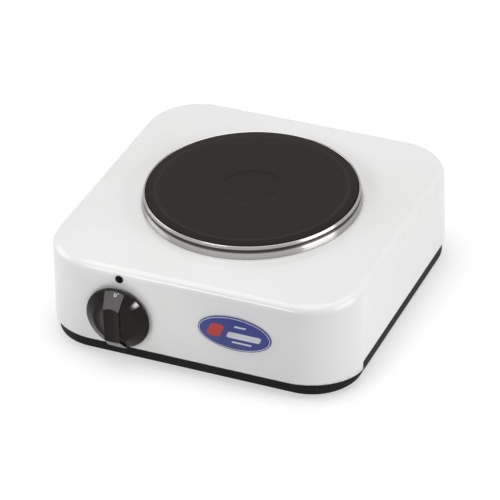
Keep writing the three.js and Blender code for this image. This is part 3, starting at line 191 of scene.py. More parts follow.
class Graph:
    """A node tree that is filled through one method."""

    def __init__(self, tree: bpy.types.NodeTree) -> None:
        """Empties a tree and keeps it."""
        self.tree = tree
        self.tree.nodes.clear()

    def node(
        self,
        kind: str,
        settings: Optional[Mapping[str, Any]] = None,
        values: Optional[Mapping[Union[int, str], Any]] = None,
        output: Union[int, str] = 0,
    ) -> Wire:
        """Adds a node.

        Args:
            kind: The node's type.
            settings: Its properties, which are set first. "stops" are a ramp's places and colours.
            values: Its inputs by name or number, each a wire or a plain value.
            output: The output that is wanted.

        Returns:
            That output, or the first input where a node has no outputs.
        """
        made = self.tree.nodes.new(kind)
        for name, setting in (settings or {}).items():
            if name == "stops":
                self._set_stops(made.color_ramp, setting)
            else:
                setattr(made, name, setting)
        for name, value in (values or {}).items():
            if isinstance(value, Wire):
                self.tree.links.new(value.socket, made.inputs[name])
            else:
                made.inputs[name].default_value = value
        return Wire(self, made.outputs[output] if made.outputs else made.inputs[0])

    @staticmethod
    def _set_stops(ramp: bpy.types.ColorRamp, stops: Sequence[tuple[float, Colour]]) -> None:
        """Sets a ramp's places and colours.

        Args:
            ramp: The ramp.
            stops: The place and colour of each stop, in order.
        """
        while len(ramp.elements) < len(stops):
            ramp.elements.new(1.0)
        for element, (place, colour) in zip(ramp.elements, stops):
            element.position = place
            element.color = colour

    def place(self) -> Wire:
        """The surface point in the row frame, at rest."""
        return self.node("ShaderNodeTexCoord", output="Object")

    def shifted(self, vector: Wire, offset: Vector) -> Wire:
        """A vector less a fixed offset."""
        values = {0: vector, 1: tuple(offset)}
        return self.node("ShaderNodeVectorMath", {"operation": "SUBTRACT"}, values)

    def scaled(self, vector: Wire, factors: tuple[float, float, float]) -> Wire:
        """A vector with each of its parts multiplied by its own factor."""
        values = {0: vector, 1: factors}
        return self.node("ShaderNodeVectorMath", {"operation": "MULTIPLY"}, values)

    def length(self, vector: Wire) -> Wire:
        """The length of a vector."""
        settings = {"operation": "LENGTH"}
        return self.node("ShaderNodeVectorMath", settings, {0: vector}, "Value")

    def joined(self, x: Value, y: Value, z: Value) -> Wire:
        """A vector from its three parts."""
        return self.node("ShaderNodeCombineXYZ", None, {0: x, 1: y, 2: z})

    def noise(self, vector: Wire, size: float, detail: float = 2.0, rough: float = 0.5) -> Wire:
        """Cloudy noise.

        Args:
            vector: Where it is read, in metres.
            size: Size of its largest blotches, in metres.
            detail: How many finer layers it has.
            rough: How strong the finer layers are.

        Returns:
            Values about 0.5.
        """
        values = {"Vector": vector, "Scale": 1 / size, "Detail": detail, "Roughness": rough}
        return self.node("ShaderNodeTexNoise", None, values)

    def cells(self, vector: Wire, size: float, output: str = "Distance") -> Wire:
        """Cells about a size in metres across: the distance to a cell's middle, or its colour."""
        values = {"Vector": vector, "Scale": 1 / size}
        return self.node("ShaderNodeTexVoronoi", {"feature": "F1"}, values, output)

    def mix(self, share: Value, first: Paint, second: Paint) -> Wire:
        """A blend of two colours, which is the second where share is 1."""
        values = {0: share, 6: first, 7: second}
        return self.node("ShaderNodeMix", {"data_type": "RGBA"}, values, 2)

    def bump(self, height: Wire, depth: float, below: Optional[Wire] = None) -> Wire:
        """A normal from a height.

        Args:
            height: The height, as a share of the depth.
            depth: How deep a height of 1 is, in metres.
            below: A normal that this one is laid over.

        Returns:
            The normal.
        """
        values = {"Strength": 1.0, "Distance": depth, "Height": height}
        if below is not None:
            values["Normal"] = below
        return self.node("ShaderNodeBump", None, values)


# ------------------------------------------------ finishes


@dataclass
class Surface:
    """What a finish feeds to its shader."""

    colour: Paint
    roughness: Value
    metallic: Value = 0.0
    normal: Optional[Wire] = None
    constants: dict[str, Any] = field(default_factory=dict)


@dataclass(frozen=True)
class Finish:
    """A finish made of nodes. Each kind of finish says how its surface varies."""

    name: str
    colour: Colour
    roughness: float

    def surface(self, graph: Graph) -> Surface:
        """The values that vary over the surface."""
        raise NotImplementedError

    @functools.cache
    def material(self) -> bpy.types.Material:
        """The material, made once.

        Returns:
            The material.
        """
        made = bpy.data.materials.new(self.name)
        made.use_nodes = True
        graph = Graph(made.node_tree)
        surface = self.surface(graph)
        values = {
            "Base Color": surface.colour,
            "Roughness": surface.roughness,
            "Metallic": surface.metallic,
            **surface.constants,
        }
        if surface.normal is not None:
            values["Normal"] = surface.normal
        shader = graph.node("ShaderNodeBsdfPrincipled", None, values)
        graph.node("ShaderNodeOutputMaterial", None, {"Surface": shader})
        return made


@dataclass(frozen=True)
class Enamel(Finish):
    """Fired enamel on pressed sheet: glossy, with a faint orange peel and the sheet's own waves."""

    edge: float = 0.0
    fired_width: float = 1.2 * MM

    def surface(self, graph: Graph) -> Surface:
        """The values that vary over the surface.

        Args:
            graph: The material's nodes.

        Returns:
            What the shader is fed.
        """
        place = graph.place()
        clouds = graph.noise(place, 0.09, 3.0)
        specks = graph.noise(place, 0.0011, 1.0).ramp(0.74, 0.8)
        body = graph.mix(clouds.ramp(0.3, 0.7), self.colour, tint(240, 241, 240))
        body = graph.mix(specks * 0.12, body, tint(150, 146, 140))
        height = graph.node("ShaderNodeSeparateXYZ", None, {0: place}, "Z")
        patches = graph.noise(place, 0.006, 3.0).ramp(0.35, 0.65)
        fired = height.ramp(self.edge + self.fired_width, self.edge) * patches
        body = graph.mix(fired * 0.35, body, tint(168, 164, 158))
        smears = graph.noise(place, 0.025, 4.0, 0.6)
        peel = graph.bump(graph.noise(place, 0.0035, 2.0), 0.006 * MM)
        waves = graph.bump(graph.noise(place, 0.06, 1.0), 0.25 * MM, peel)
        roughness = self.roughness + 0.12 * (smears - 0.5)
        return Surface(body, roughness, normal=waves)


@dataclass(frozen=True)
class CastIron(Finish):
    """Blackened cast iron, turned on its face in fine rings about the plate's axis."""

    middle: Vector = field(default_factory=Vector, hash=False)
    dimple: float = 22 * MM
    border: float = 72.5 * MM
    painted_highlight_ring: float = 70.5 * MM
    painted_highlight_width: float = 1.5 * MM
    pitch: float = 0.9 * MM

    def surface(self, graph: Graph) -> Surface:
        """The values that vary over the surface.

        Args:
            graph: The material's nodes.

        Returns:
            What the shader is fed.
        """
        place = graph.place()
        flat = graph.scaled(graph.shifted(place, self.middle), (1.0, 1.0, 0.0))
        radius = graph.length(flat)
        blotches = graph.noise(place, 0.035, 4.0, 0.6)
        grain = graph.noise(place, 0.0016, 3.0, 0.65)
        streaks = graph.noise(graph.joined(radius, 0.0, 0.0), 0.0014, 2.0)
        body = graph.mix(blotches.ramp(0.3, 0.72), self.colour, tint(39, 34, 31))
        body = graph.mix(grain.ramp(0.6, 0.8) * 0.35, body, tint(70, 64, 58))
        dimpled = radius.ramp(self.dimple + 2 * MM, self.dimple - 2 * MM)
        body = graph.mix(dimpled * 0.45, body, tint(30, 26, 24))
        bordered = radius.ramp(self.border - 1 * MM, self.border + 2 * MM)
        body = graph.mix(bordered * 0.3, body, tint(16, 15, 15))
        # Painted highlight: a thin lighter ring on the flat face just inside the border.
        painted_highlight = abs(radius - self.painted_highlight_ring).ramp(self.painted_highlight_width, 0.0)
        body = graph.mix(painted_highlight * 0.15, body, tint(84, 77, 72))
        rings = (radius * (2 * math.pi / self.pitch)).sine() * 0.5 + streaks
        face = radius.ramp(self.border, self.border - 1 * MM)
        turning = graph.bump(rings * face, 0.012 * MM)
        skin = graph.bump(grain, 0.05 * MM, turning)
        roughness = self.roughness + 0.2 * (blotches - 0.5)
        return Surface(body, roughness, 0.25, skin, {"Specular IOR Level": 0.1})


@dataclass(frozen=True)
class BrightSteel(Finish):
    """Rolled bright steel, polished along the ring, rougher along the crease, with painted shade
    darkening the crease.
    """

    middle: Vector = field(default_factory=Vector, hash=False)
    crease: float = 0.0
    crease_shade_width: float = 2 * MM

    def surface(self, graph: Graph) -> Surface:
        """The values that vary over the surface.

        Args:
            graph: The material's nodes.

        Returns:
            What the shader is fed.
        """
        place = graph.place()
        local = graph.shifted(place, self.middle)
        radius = graph.length(graph.scaled(local, (1.0, 1.0, 0.0)))
        height = graph.node("ShaderNodeSeparateXYZ", None, {0: local}, "Z")
        lines = graph.noise(graph.joined(radius, height, 0.0), 0.00035, 2.0)
        drift = graph.noise(place, 0.02, 3.0)
        # Painted shade: the colour turns almost black in a band about the crease's height.
        crease = abs(height - self.crease).ramp(self.crease_shade_width, 0.4 * self.crease_shade_width)
        body = graph.mix(drift.ramp(0.3, 0.7), self.colour, tint(166, 163, 160))
        body = graph.mix(crease * 0.9, body, tint(34, 32, 31))
        roughness = self.roughness + 0.1 * (lines - 0.5) + 0.08 * (drift - 0.5) + 0.1 * crease
        return Surface(body, roughness, 1.0, graph.bump(lines, 0.004 * MM))


@dataclass(frozen=True)
class Moulding(Finish):
    """Moulded plastic: a fine eroded grain, and faint rubbing where it is handled."""

    grain: float = 0.9 * MM
    depth: float = 0.02 * MM
    rubbed: Colour = (0.06, 0.057, 0.055, 1.0)
    specular: float = 0.5

    def surface(self, graph: Graph) -> Surface:
        """The values that vary over the surface.

        Args:
            graph: The material's nodes.

        Returns:
            What the shader is fed.
        """
        place = graph.place()
        grain = graph.noise(place, self.grain, 3.0, 0.6)
        flow = graph.noise(graph.scaled(place, (1.0, 1.0, 3.0)), 0.03, 3.0)
        rubs = graph.noise(place, 0.008, 4.0, 0.7).ramp(0.58, 0.75)
        body = graph.mix(flow * 0.35 + rubs * 0.25, self.colour, self.rubbed)
        roughness = self.roughness + 0.16 * (flow - 0.5) + 0.1 * (grain - 0.5)
        normal = graph.bump(grain, self.depth)
        constants = {"Specular IOR Level": self.specular}
        return Surface(body, roughness, normal=normal, constants=constants)


@dataclass(frozen=True)
class Rubber(Finish):
    """Matt black rubber with a bloom of dust."""

    def surface(self, graph: Graph) -> Surface:
        """The values that vary over the surface.

        Args:
            graph: The material's nodes.

        Returns:
            What the shader is fed.
        """
        place = graph.place()
        dust = graph.noise(place, 0.004, 4.0, 0.7)
        pores = graph.cells(place, 0.0007)
        body = graph.mix(dust.ramp(0.45, 0.75) * 0.6, self.colour, tint(58, 56, 54))
        normal = graph.bump(pores, 0.03 * MM)
        return Surface(body, self.roughness + 0.15 * (dust - 0.5), normal=normal)


@dataclass(frozen=True)
class PlatedSteel(Finish):
    """Plated sheet or bar with a crystalline spangle and dull patches."""

    spangle: float = 4 * MM
    dark: Colour = (0.3, 0.31, 0.32, 1.0)

    def surface(self, graph: Graph) -> Surface:
        """The values that vary over the surface.

        Args:
            graph: The material's nodes.

        Returns:
            What the shader is fed.
        """
        place = graph.place()
        crystals = graph.cells(place, self.spangle, output="Color")
        share = graph.node("ShaderNodeSeparateColor", None, {0: crystals}, "Red")
        dull = graph.noise(place, 0.012, 4.0, 0.6)
        scratches = graph.noise(graph.scaled(place, (1.0, 9.0, 1.0)), 0.003, 2.0)
        body = graph.mix(share * 0.55 + dull.ramp(0.5, 0.8) * 0.3, self.colour, self.dark)
        roughness = self.roughness + 0.18 * (share - 0.5) + 0.25 * (dull - 0.5)
        return Surface(body, roughness, 0.9, graph.bump(scratches, 0.01 * MM))


@dataclass(frozen=True)
class HeatTinted(Finish):
    """Steel sheath that has been hot, with straw and blue bands."""

    def surface(self, graph: Graph) -> Surface:
        """The values that vary over the surface.

        Args:
            graph: The material's nodes.

        Returns:
            What the shader is fed.
        """
        place = graph.place()
        bands = graph.noise(place, 0.02, 3.0, 0.6)
        scale = graph.noise(place, 0.0012, 3.0, 0.7)
        straw, blue, grey = tint(122, 92, 62), tint(70, 72, 96), tint(60, 54, 50)
        stops = [(0.3, self.colour), (0.48, straw), (0.6, blue), (0.75, grey)]
        body = graph.node("ShaderNodeValToRGB", {"stops": stops}, {0: bands})
        body = graph.mix(scale.ramp(0.55, 0.7) * 0.5, body, tint(40, 36, 33))
        roughness = self.roughness + 0.3 * (scale - 0.5)
        return Surface(body, roughness, 0.7, graph.bump(scale, 0.02 * MM))


@dataclass(frozen=True)
class Mica(Finish):
    """Pressed mica board, in pearly flakes."""

    def surface(self, graph: Graph) -> Surface:
        """The values that vary over the surface.

        Args:
            graph: The material's nodes.

        Returns:
            What the shader is fed.
        """
        place = graph.place()
        flakes = graph.cells(graph.scaled(place, (1.0, 1.0, 4.0)), 0.0035, output="Color")
        share = graph.node("ShaderNodeSeparateColor", None, {0: flakes}, "Green")
        stain = graph.noise(place, 0.02, 3.0)
        body = graph.mix(share, self.colour, tint(176, 160, 128))
        body = graph.mix(stain.ramp(0.55, 0.8) * 0.5, body, tint(140, 118, 88))
        roughness = self.roughness - 0.35 * share
        return Surface(body, roughness, normal=graph.bump(share, 0.04 * MM))


@dataclass(frozen=True)
class Porcelain(Finish):
    """Glazed steatite with brown kiln specks and a grey cast where it has been handled."""

    def surface(self, graph: Graph) -> Surface:
        """The values that vary over the surface.

        Args:
            graph: The material's nodes.

        Returns:
            What the shader is fed.
        """
        place = graph.place()
        specks = graph.cells(place, 0.0016).ramp(0.16, 0.08)
        cast = graph.noise(place, 0.012, 3.0)
        body = graph.mix(cast.ramp(0.4, 0.8) * 0.5, self.colour, tint(206, 200, 188))
        body = graph.mix(specks * 0.6, body, tint(120, 92, 62))
        ripple = graph.bump(graph.noise(place, 0.003, 2.0), 0.03 * MM)
        return Surface(body, self.roughness + 0.2 * (cast - 0.5), normal=ripple)


@dataclass(frozen=True)
class Brass(Finish):
    """Stamped brass with a brown tarnish."""

    def surface(self, graph: Graph) -> Surface:
        """The values that vary over the surface.

        Args:
            graph: The material's nodes.

        Returns:
            What the shader is fed.
        """
        place = graph.place()
        tarnish = graph.noise(place, 0.003, 4.0, 0.65)
        grain = graph.noise(graph.scaled(place, (1.0, 1.0, 8.0)), 0.002, 2.0)
        body = graph.mix(tarnish.ramp(0.45, 0.75) * 0.7, self.colour, tint(120, 84, 44))
        roughness = self.roughness + 0.3 * (tarnish - 0.5)
        return Surface(body, roughness, 0.95, graph.bump(grain, 0.008 * MM))


@dataclass(frozen=True)
class Glass(Finish):
    """Tinted glass or clear plastic, with a haze that makes its depth show."""

    clearness: float = 0.0
    specular: float = 0.5

    def surface(self, graph: Graph) -> Surface:
        """The values that vary over the surface.

        Args:
            graph: The material's nodes.

        Returns:
            What the shader is fed.
        """
        place = graph.place()
        haze = graph.noise(place, 0.0025, 3.0)
        body = graph.mix(haze.ramp(0.3, 0.8) * 0.3, self.colour, tint(40, 14, 11))
        roughness = self.roughness + 0.08 * (haze - 0.5)
        constants = {
            "Transmission Weight": self.clearness,
            "Specular IOR Level": self.specular,
            "Coat Roughness": 0.04,
        }
        return Surface(body, roughness, normal=graph.bump(haze, 0.005 * MM), constants=constants)


@dataclass(frozen=True)
class Sleeving(Finish):
    """Varnished glass-fibre sleeving, woven in two crossing slants."""

    strand: float = 0.7 * MM

    def surface(self, graph: Graph) -> Surface:
        """The values that vary over the surface.

        Args:
            graph: The material's nodes.

        Returns:
            What the shader is fed.
        """
        place = graph.place()
        turn = 2 * math.pi / self.strand
        parts = graph.node("ShaderNodeSeparateXYZ", None, {0: place}, "X")
        along = parts + parts.port("Y") + parts.port("Z")
        across = parts - parts.port("Y") + parts.port("Z") * 0.5
        weave = (along * turn).sine().high((across * turn).sine())
        fade = graph.noise(place, 0.006, 3.0)
        body = graph.mix(weave.ramp(0.2, -0.4) * 0.5, self.colour, tint(30, 24, 22))
        body = graph.mix(fade.ramp(0.5, 0.8) * 0.35, body, tint(190, 184, 172))
        return Surface(body, self.roughness, normal=graph.bump(weave, 0.05 * MM))


@dataclass(frozen=True)
class Print(Finish):
    """Ink under clear lacquer."""

    def surface(self, graph: Graph) -> Surface:
        """The values that vary over the surface.

        Args:
            graph: The material's nodes.

        Returns:
            What the shader is fed.
        """
        place = graph.place()
        screen = graph.cells(place, 0.0005)
        wash = graph.noise(place, 0.02, 3.0)
        shade = tuple(0.72 * part for part in self.colour[:3]) + (1.0,)
        body = graph.mix(wash.ramp(0.3, 0.75) * 0.6 + screen * 0.15, self.colour, shade)
        roughness = self.roughness + 0.1 * (wash - 0.5)
        return Surface(body, roughness, normal=graph.bump(screen, 0.004 * MM))


@dataclass
class Paints:
    """Every finish of the hot plate, by what it is used for."""

    plate_middle: Vector
    ring_crease: float
    edge: float

    def __post_init__(self) -> None:
        """Makes the finishes that depend on where a piece is."""
        self.enamel = Enamel("enamel", tint(236, 236, 235), 0.16, edge=self.edge)
        self.iron = CastIron("blackened_iron", tint(34, 29, 26), 0.62, middle=self.plate_middle)
        self.ring = BrightSteel(
            "ring_steel",
            tint(168, 166, 164),
            0.17,
            middle=self.plate_middle,
            crease=self.ring_crease,
        )
        self.base = Moulding("base_moulding", tint(24, 23, 23), 0.6, specular=0.07)
        self.knob = Moulding(
            "knob_moulding",
            tint(19, 12, 9),
            0.09,
            grain=2.5 * MM,
            depth=0.01 * MM,
            rubbed=tint(30, 22, 18),
            specular=0.17,
        )
        self.phenolic = Moulding(
            "thermostat_moulding", tint(42, 35, 32), 0.5, grain=0.6 * MM, depth=0.03 * MM
        )
        self.rubber = Rubber("rubber", tint(24, 23, 23), 0.85)
        self.zinc = PlatedSteel("zinc_sheet", tint(186, 189, 192), 0.38)
        self.screws = PlatedSteel("zinc_screws", tint(180, 182, 184), 0.34, spangle=0.8 * MM)
        self.coil = HeatTinted("coil_sheath", tint(100, 94, 88), 0.5)
        self.mica = Mica("mica_board", tint(206, 196, 170), 0.85)
        self.porcelain = Porcelain("steatite", tint(234, 230, 220), 0.32)
        self.brass = Brass("brass", tint(196, 156, 84), 0.35)
        self.lens = Glass("smoked_lens", tint(6, 4, 4), 0.12, specular=0.08)
        self.lamp = Glass("lamp_glass", tint(222, 184, 148), 0.1, clearness=0.6)
        self.brown = Sleeving("brown_sleeving", tint(108, 64, 36), 0.65)
        self.blue = Sleeving("blue_sleeving", tint(50, 96, 168), 0.65)
        self.green = Sleeving("green_sleeving", tint(112, 154, 48), 0.65)
        self.badge = Print("badge_ink", tint(40, 52, 142), 0.3)
        self.pale_ink = Print("pale_ink", tint(228, 230, 238), 0.35)
        self.red_ink = Print("red_ink", tint(188, 52, 44), 0.35)


# ------------------------------------------------ forms


@dataclass(frozen=True)
class Corner:
    """A corner of an outline, with the radius that rounds it."""

    u: float
    v: float
    round: float = 0.0


def traced(corners: Sequence[Corner], closed: bool, steps: int = 5) -> list[Flat]:
    """The points of an outline with its corners rounded.

    Args:
        corners: The corners in order.
        closed: Whether the last corner joins the first.
        steps: Straight steps in each rounded corner.

    Returns:
        The points in order.
    """
    points: list[Flat] = []
    count = len(corners)
    for index, corner in enumerate(corners):
        here = Vector((corner.u, corner.v))
        at_end = not closed and index in (0, count - 1)
        if corner.round <= 0 or at_end:
            points.append((corner.u, corner.v))
            continue
        before, after = corners[index - 1], corners[(index + 1) % count]
        back = Vector((before.u, before.v)) - here
        ahead = Vector((after.u, after.v)) - here
        half = back.angle(ahead) / 2
        limit = EDGE_SHARE * min(back.length, ahead.length)
        reach = min(corner.round / math.tan(half), limit)
        start, end = here + back.normalized() * reach, here + ahead.normalized() * reach
        for step in range(steps + 1):
            share = step / steps
            first = start.lerp(here, share)
            points.append(tuple(first.lerp(here.lerp(end, share), share)))
    return points


def rounded(x: float, y: float, wide: float, tall: float, radius: float, steps: int) -> list[Flat]:
    """The outline of a rectangle with rounded corners.

    Args:
        x: Its middle, along X.
        y: Its middle, along Y.
        wide: Half its size along X.
        tall: Half its size along Y.
        radius: The corners' radius.
        steps: Straight steps in each rounded corner.

    Returns:
        The points in order.
    """
    signs = ((-1, -1), (1, -1), (1, 1), (-1, 1))
    return traced([Corner(x + u * wide, y + v * tall, radius) for u, v in signs], True, steps)


class Join(Enum):
    """What a form does to the piece that it is combined with."""

    CUT = "DIFFERENCE"
    ADD = "UNION"
    KEEP = "INTERSECT"


class Way(Enum):
    """The direction in which the heights of a turned piece run."""

    UP = 0.0
    FRONT = math.pi / 2
    BACK = -math.pi / 2

    def matrix(self, place: Vector) -> Matrix:
        """Turns heights from +Z to this direction and sets them at a place."""
        return Matrix.Translation(place) @ Matrix.Rotation(self.value, 4, "X")


@dataclass
class Form:
    """The points and faces of a closed mesh in the making."""

    points: list[Vector] = field(default_factory=list)
    faces: list[tuple[int, ...]] = field(default_factory=list)

    @classmethod
    def turned(cls, profile: Sequence[Flat], steps: int, closed: bool = False) -> "Form":
        """A profile turned about +Z.

        Args:
            profile: Radius and height of each point. An open profile starts and ends on the axis.
            steps: Straight steps around.
            closed: Whether the profile's end joins its start, as a ring's does.

        Returns:
            The form.
        """
        form = cls()
        rings: list[list[int]] = []
        for radius, height in profile:
            start = len(form.points)
            if radius < ON_AXIS:
                form.points.append(Vector((0, 0, height)))
                rings.append([start] * steps)
                continue
            for step in range(steps):
                angle = 2 * math.pi * step / steps
                x, y = radius * math.cos(angle), radius * math.sin(angle)
                form.points.append(Vector((x, y, height)))
            rings.append(list(range(start, start + steps)))
        form._skin(rings, closed)
        return form

    @classmethod
    def lofted(cls, rings: Sequence[Sequence[Vector]]) -> "Form":
        """A closed form through loops of points, one above the other.

        Args:
            rings: The loops, each with as many points as the others.

        Returns:
            The form.
        """
        form = cls()
        loops = []
        for ring in rings:
            start = len(form.points)
            form.points.extend(Vector(point) for point in ring)
            loops.append(list(range(start, start + len(ring))))
        form._skin(loops, False)
        form.faces.append(tuple(reversed(loops[0])))
        form.faces.append(tuple(loops[-1]))
        return form

    @classmethod
    def pulled(cls, outline: Sequence[Flat], low: float, high: float) -> "Form":
        """An outline in X and Y pulled from one height to another."""
        rings = [[Vector((u, v, height)) for u, v in outline] for height in (low, high)]
        return cls.lofted(rings)

    def _skin(self, rings: Sequence[Sequence[int]], closed: bool) -> None:
        """Adds the faces between loops that follow each other.

        Args:
            rings: The loops, as indices of points.
            closed: Whether the last loop joins the first.
        """
        pairs = list(zip(rings, rings[1:]))
        if closed:
            pairs.append((rings[-1], rings[0]))
        for low, high in pairs:
            for step, first in enumerate(low):
                after = (step + 1) % len(low)
                face = dict.fromkeys((first, low[after], high[after], high[step]))
                if len(face) > 2:
                    self.faces.append(tuple(face))

    def moved(self, matrix: Matrix) -> "Form":
        """The form carried by a matrix."""
        return Form([matrix @ point for point in self.points], list(self.faces))

    def piece(self, name: str, crease: float = 32.0) -> bpy.types.Object:
        """The form as an object.

        Args:
            name: The object's name.
            crease: Edges that turn by more than this many degrees stay sharp.

        Returns:
            The object, in the scene.
        """
        made = bpy.data.meshes.new(name)
        made.from_pydata([tuple(point) for point in self.points], [], self.faces)
        tidy = bmesh.new()
        tidy.from_mesh(made)
        bmesh.ops.remove_doubles(tidy, verts=tidy.verts, dist=SAME_POINT)
        bmesh.ops.recalc_face_normals(tidy, faces=tidy.faces)
        tidy.to_mesh(made)
        tidy.free()
        piece = bpy.data.objects.new(name, made)
        bpy.context.scene.collection.objects.link(piece)
        smooth(piece, crease)
        return piece


def smooth(piece: bpy.types.Object, crease: float) -> None:
    """Shades a piece smooth, apart from edges that turn by more than a number of degrees."""
    piece.data.polygons.foreach_set("use_smooth", [True] * len(piece.data.polygons))
    piece.data.set_sharp_from_angle(angle=math.radians(crease))


def settle(piece: bpy.types.Object) -> None:
    """Applies a piece's modifiers.

    Args:
        piece: The piece.
    """
    graph = bpy.context.evaluated_depsgraph_get()
    made = bpy.data.meshes.new_from_object(piece.evaluated_get(graph))
    old = piece.data
    piece.modifiers.clear()
    piece.data = made
    made.name = piece.name
    bpy.data.meshes.remove(old)


def combine(piece: bpy.types.Object, tools: Iterable[Form], join: Join = Join.CUT) -> None:
    """Combines a piece with forms.

    Args:
        piece: The piece that changes.
        tools: The forms, used one after the other.
        join: What they do to the piece.
    """
    for form in tools:
        tool = form.piece("tool")
        modifier = piece.modifiers.new("combine", "BOOLEAN")
        modifier.operation = join.value
        modifier.solver = "MANIFOLD"
        modifier.object = tool
        settle(piece)
        bpy.data.objects.remove(tool)


def eased(piece: bpy.types.Object, width: float, limit: float = 40.0, segments: int = 2) -> None:
    """Rounds a piece's sharp edges.

    Args:
        piece: The piece.
        width: Width of the rounding.
        limit: Edges that turn by fewer degrees than this are left alone.
        segments: Straight steps across the rounding.
    """
    bevel = piece.modifiers.new("ease", "BEVEL")
    bevel.width = width
    bevel.segments = segments
    bevel.limit_method = "ANGLE"
    bevel.angle_limit = math.radians(limit)
    bevel.miter_outer = "MITER_ARC"
    settle(piece)
    smooth(piece, limit)
    weighted = piece.modifiers.new("weight", "WEIGHTED_NORMAL")
    weighted.keep_sharp = True
    settle(piece)


def rod(radius: float, low: float, high: float, way: Way, place: Vector, steps: int = 48) -> Form:
    """A round bar between two heights along its way from a place."""
    profile = [(0.0, low), (radius, low), (radius, high), (0.0, high)]
    return Form.turned(profile, steps).moved(way.matrix(place))


def finished(
    piece: bpy.types.Object,
    finish: Finish,
    body: Body,
    replaced: Sequence[str] = (),
) -> bpy.types.Object:
    """Dresses a new piece, hangs it on its body and hides the CAD nodes that it stands for.

    Args:
        piece: The piece.
        finish: Its finish.
        body: The body it moves with.
        replaced: The CAD nodes that it stands for.

    Returns:
        The piece.
    """
    piece.data.materials.clear()
    piece.data.materials.append(finish.material())
    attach(piece, body.value)
    if replaced:
        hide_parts(*replaced)
    log.info("%s: %d faces, rides on %s", piece.name, len(piece.data.polygons), body.value)
    return piece


def middle_of(node: str) -> Vector:
    """The middle of a CAD node's box."""
    low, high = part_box(node)
    return (low + high) / 2


# ------------------------------------------------ housing and base


@dataclass
class Plan:
    """A rounded square seen from above."""

    half: float
    corner: float

    def ring(self, height: float, middle: Vector, steps: int = 20) -> list[Vector]:
        """The points of the outline at a height, anticlockwise.

        Args:
            height: The height.
            middle: The middle of the square.
            steps: Straight steps around each corner.

        Returns:
            The points.
        """
        points = []
        reach = self.half - self.corner
        for corner in range(4):
            side_x = 1 if corner in (0, 3) else -1
            side_y = 1 if corner < 2 else -1
            for step in range(steps + 1):
                angle = (corner + step / steps) * math.pi / 2
                x = side_x * reach + self.corner * math.cos(angle)
                y = side_y * reach + self.corner * math.sin(angle)
                points.append(Vector((middle.x + x, middle.y + y, height)))
        return points


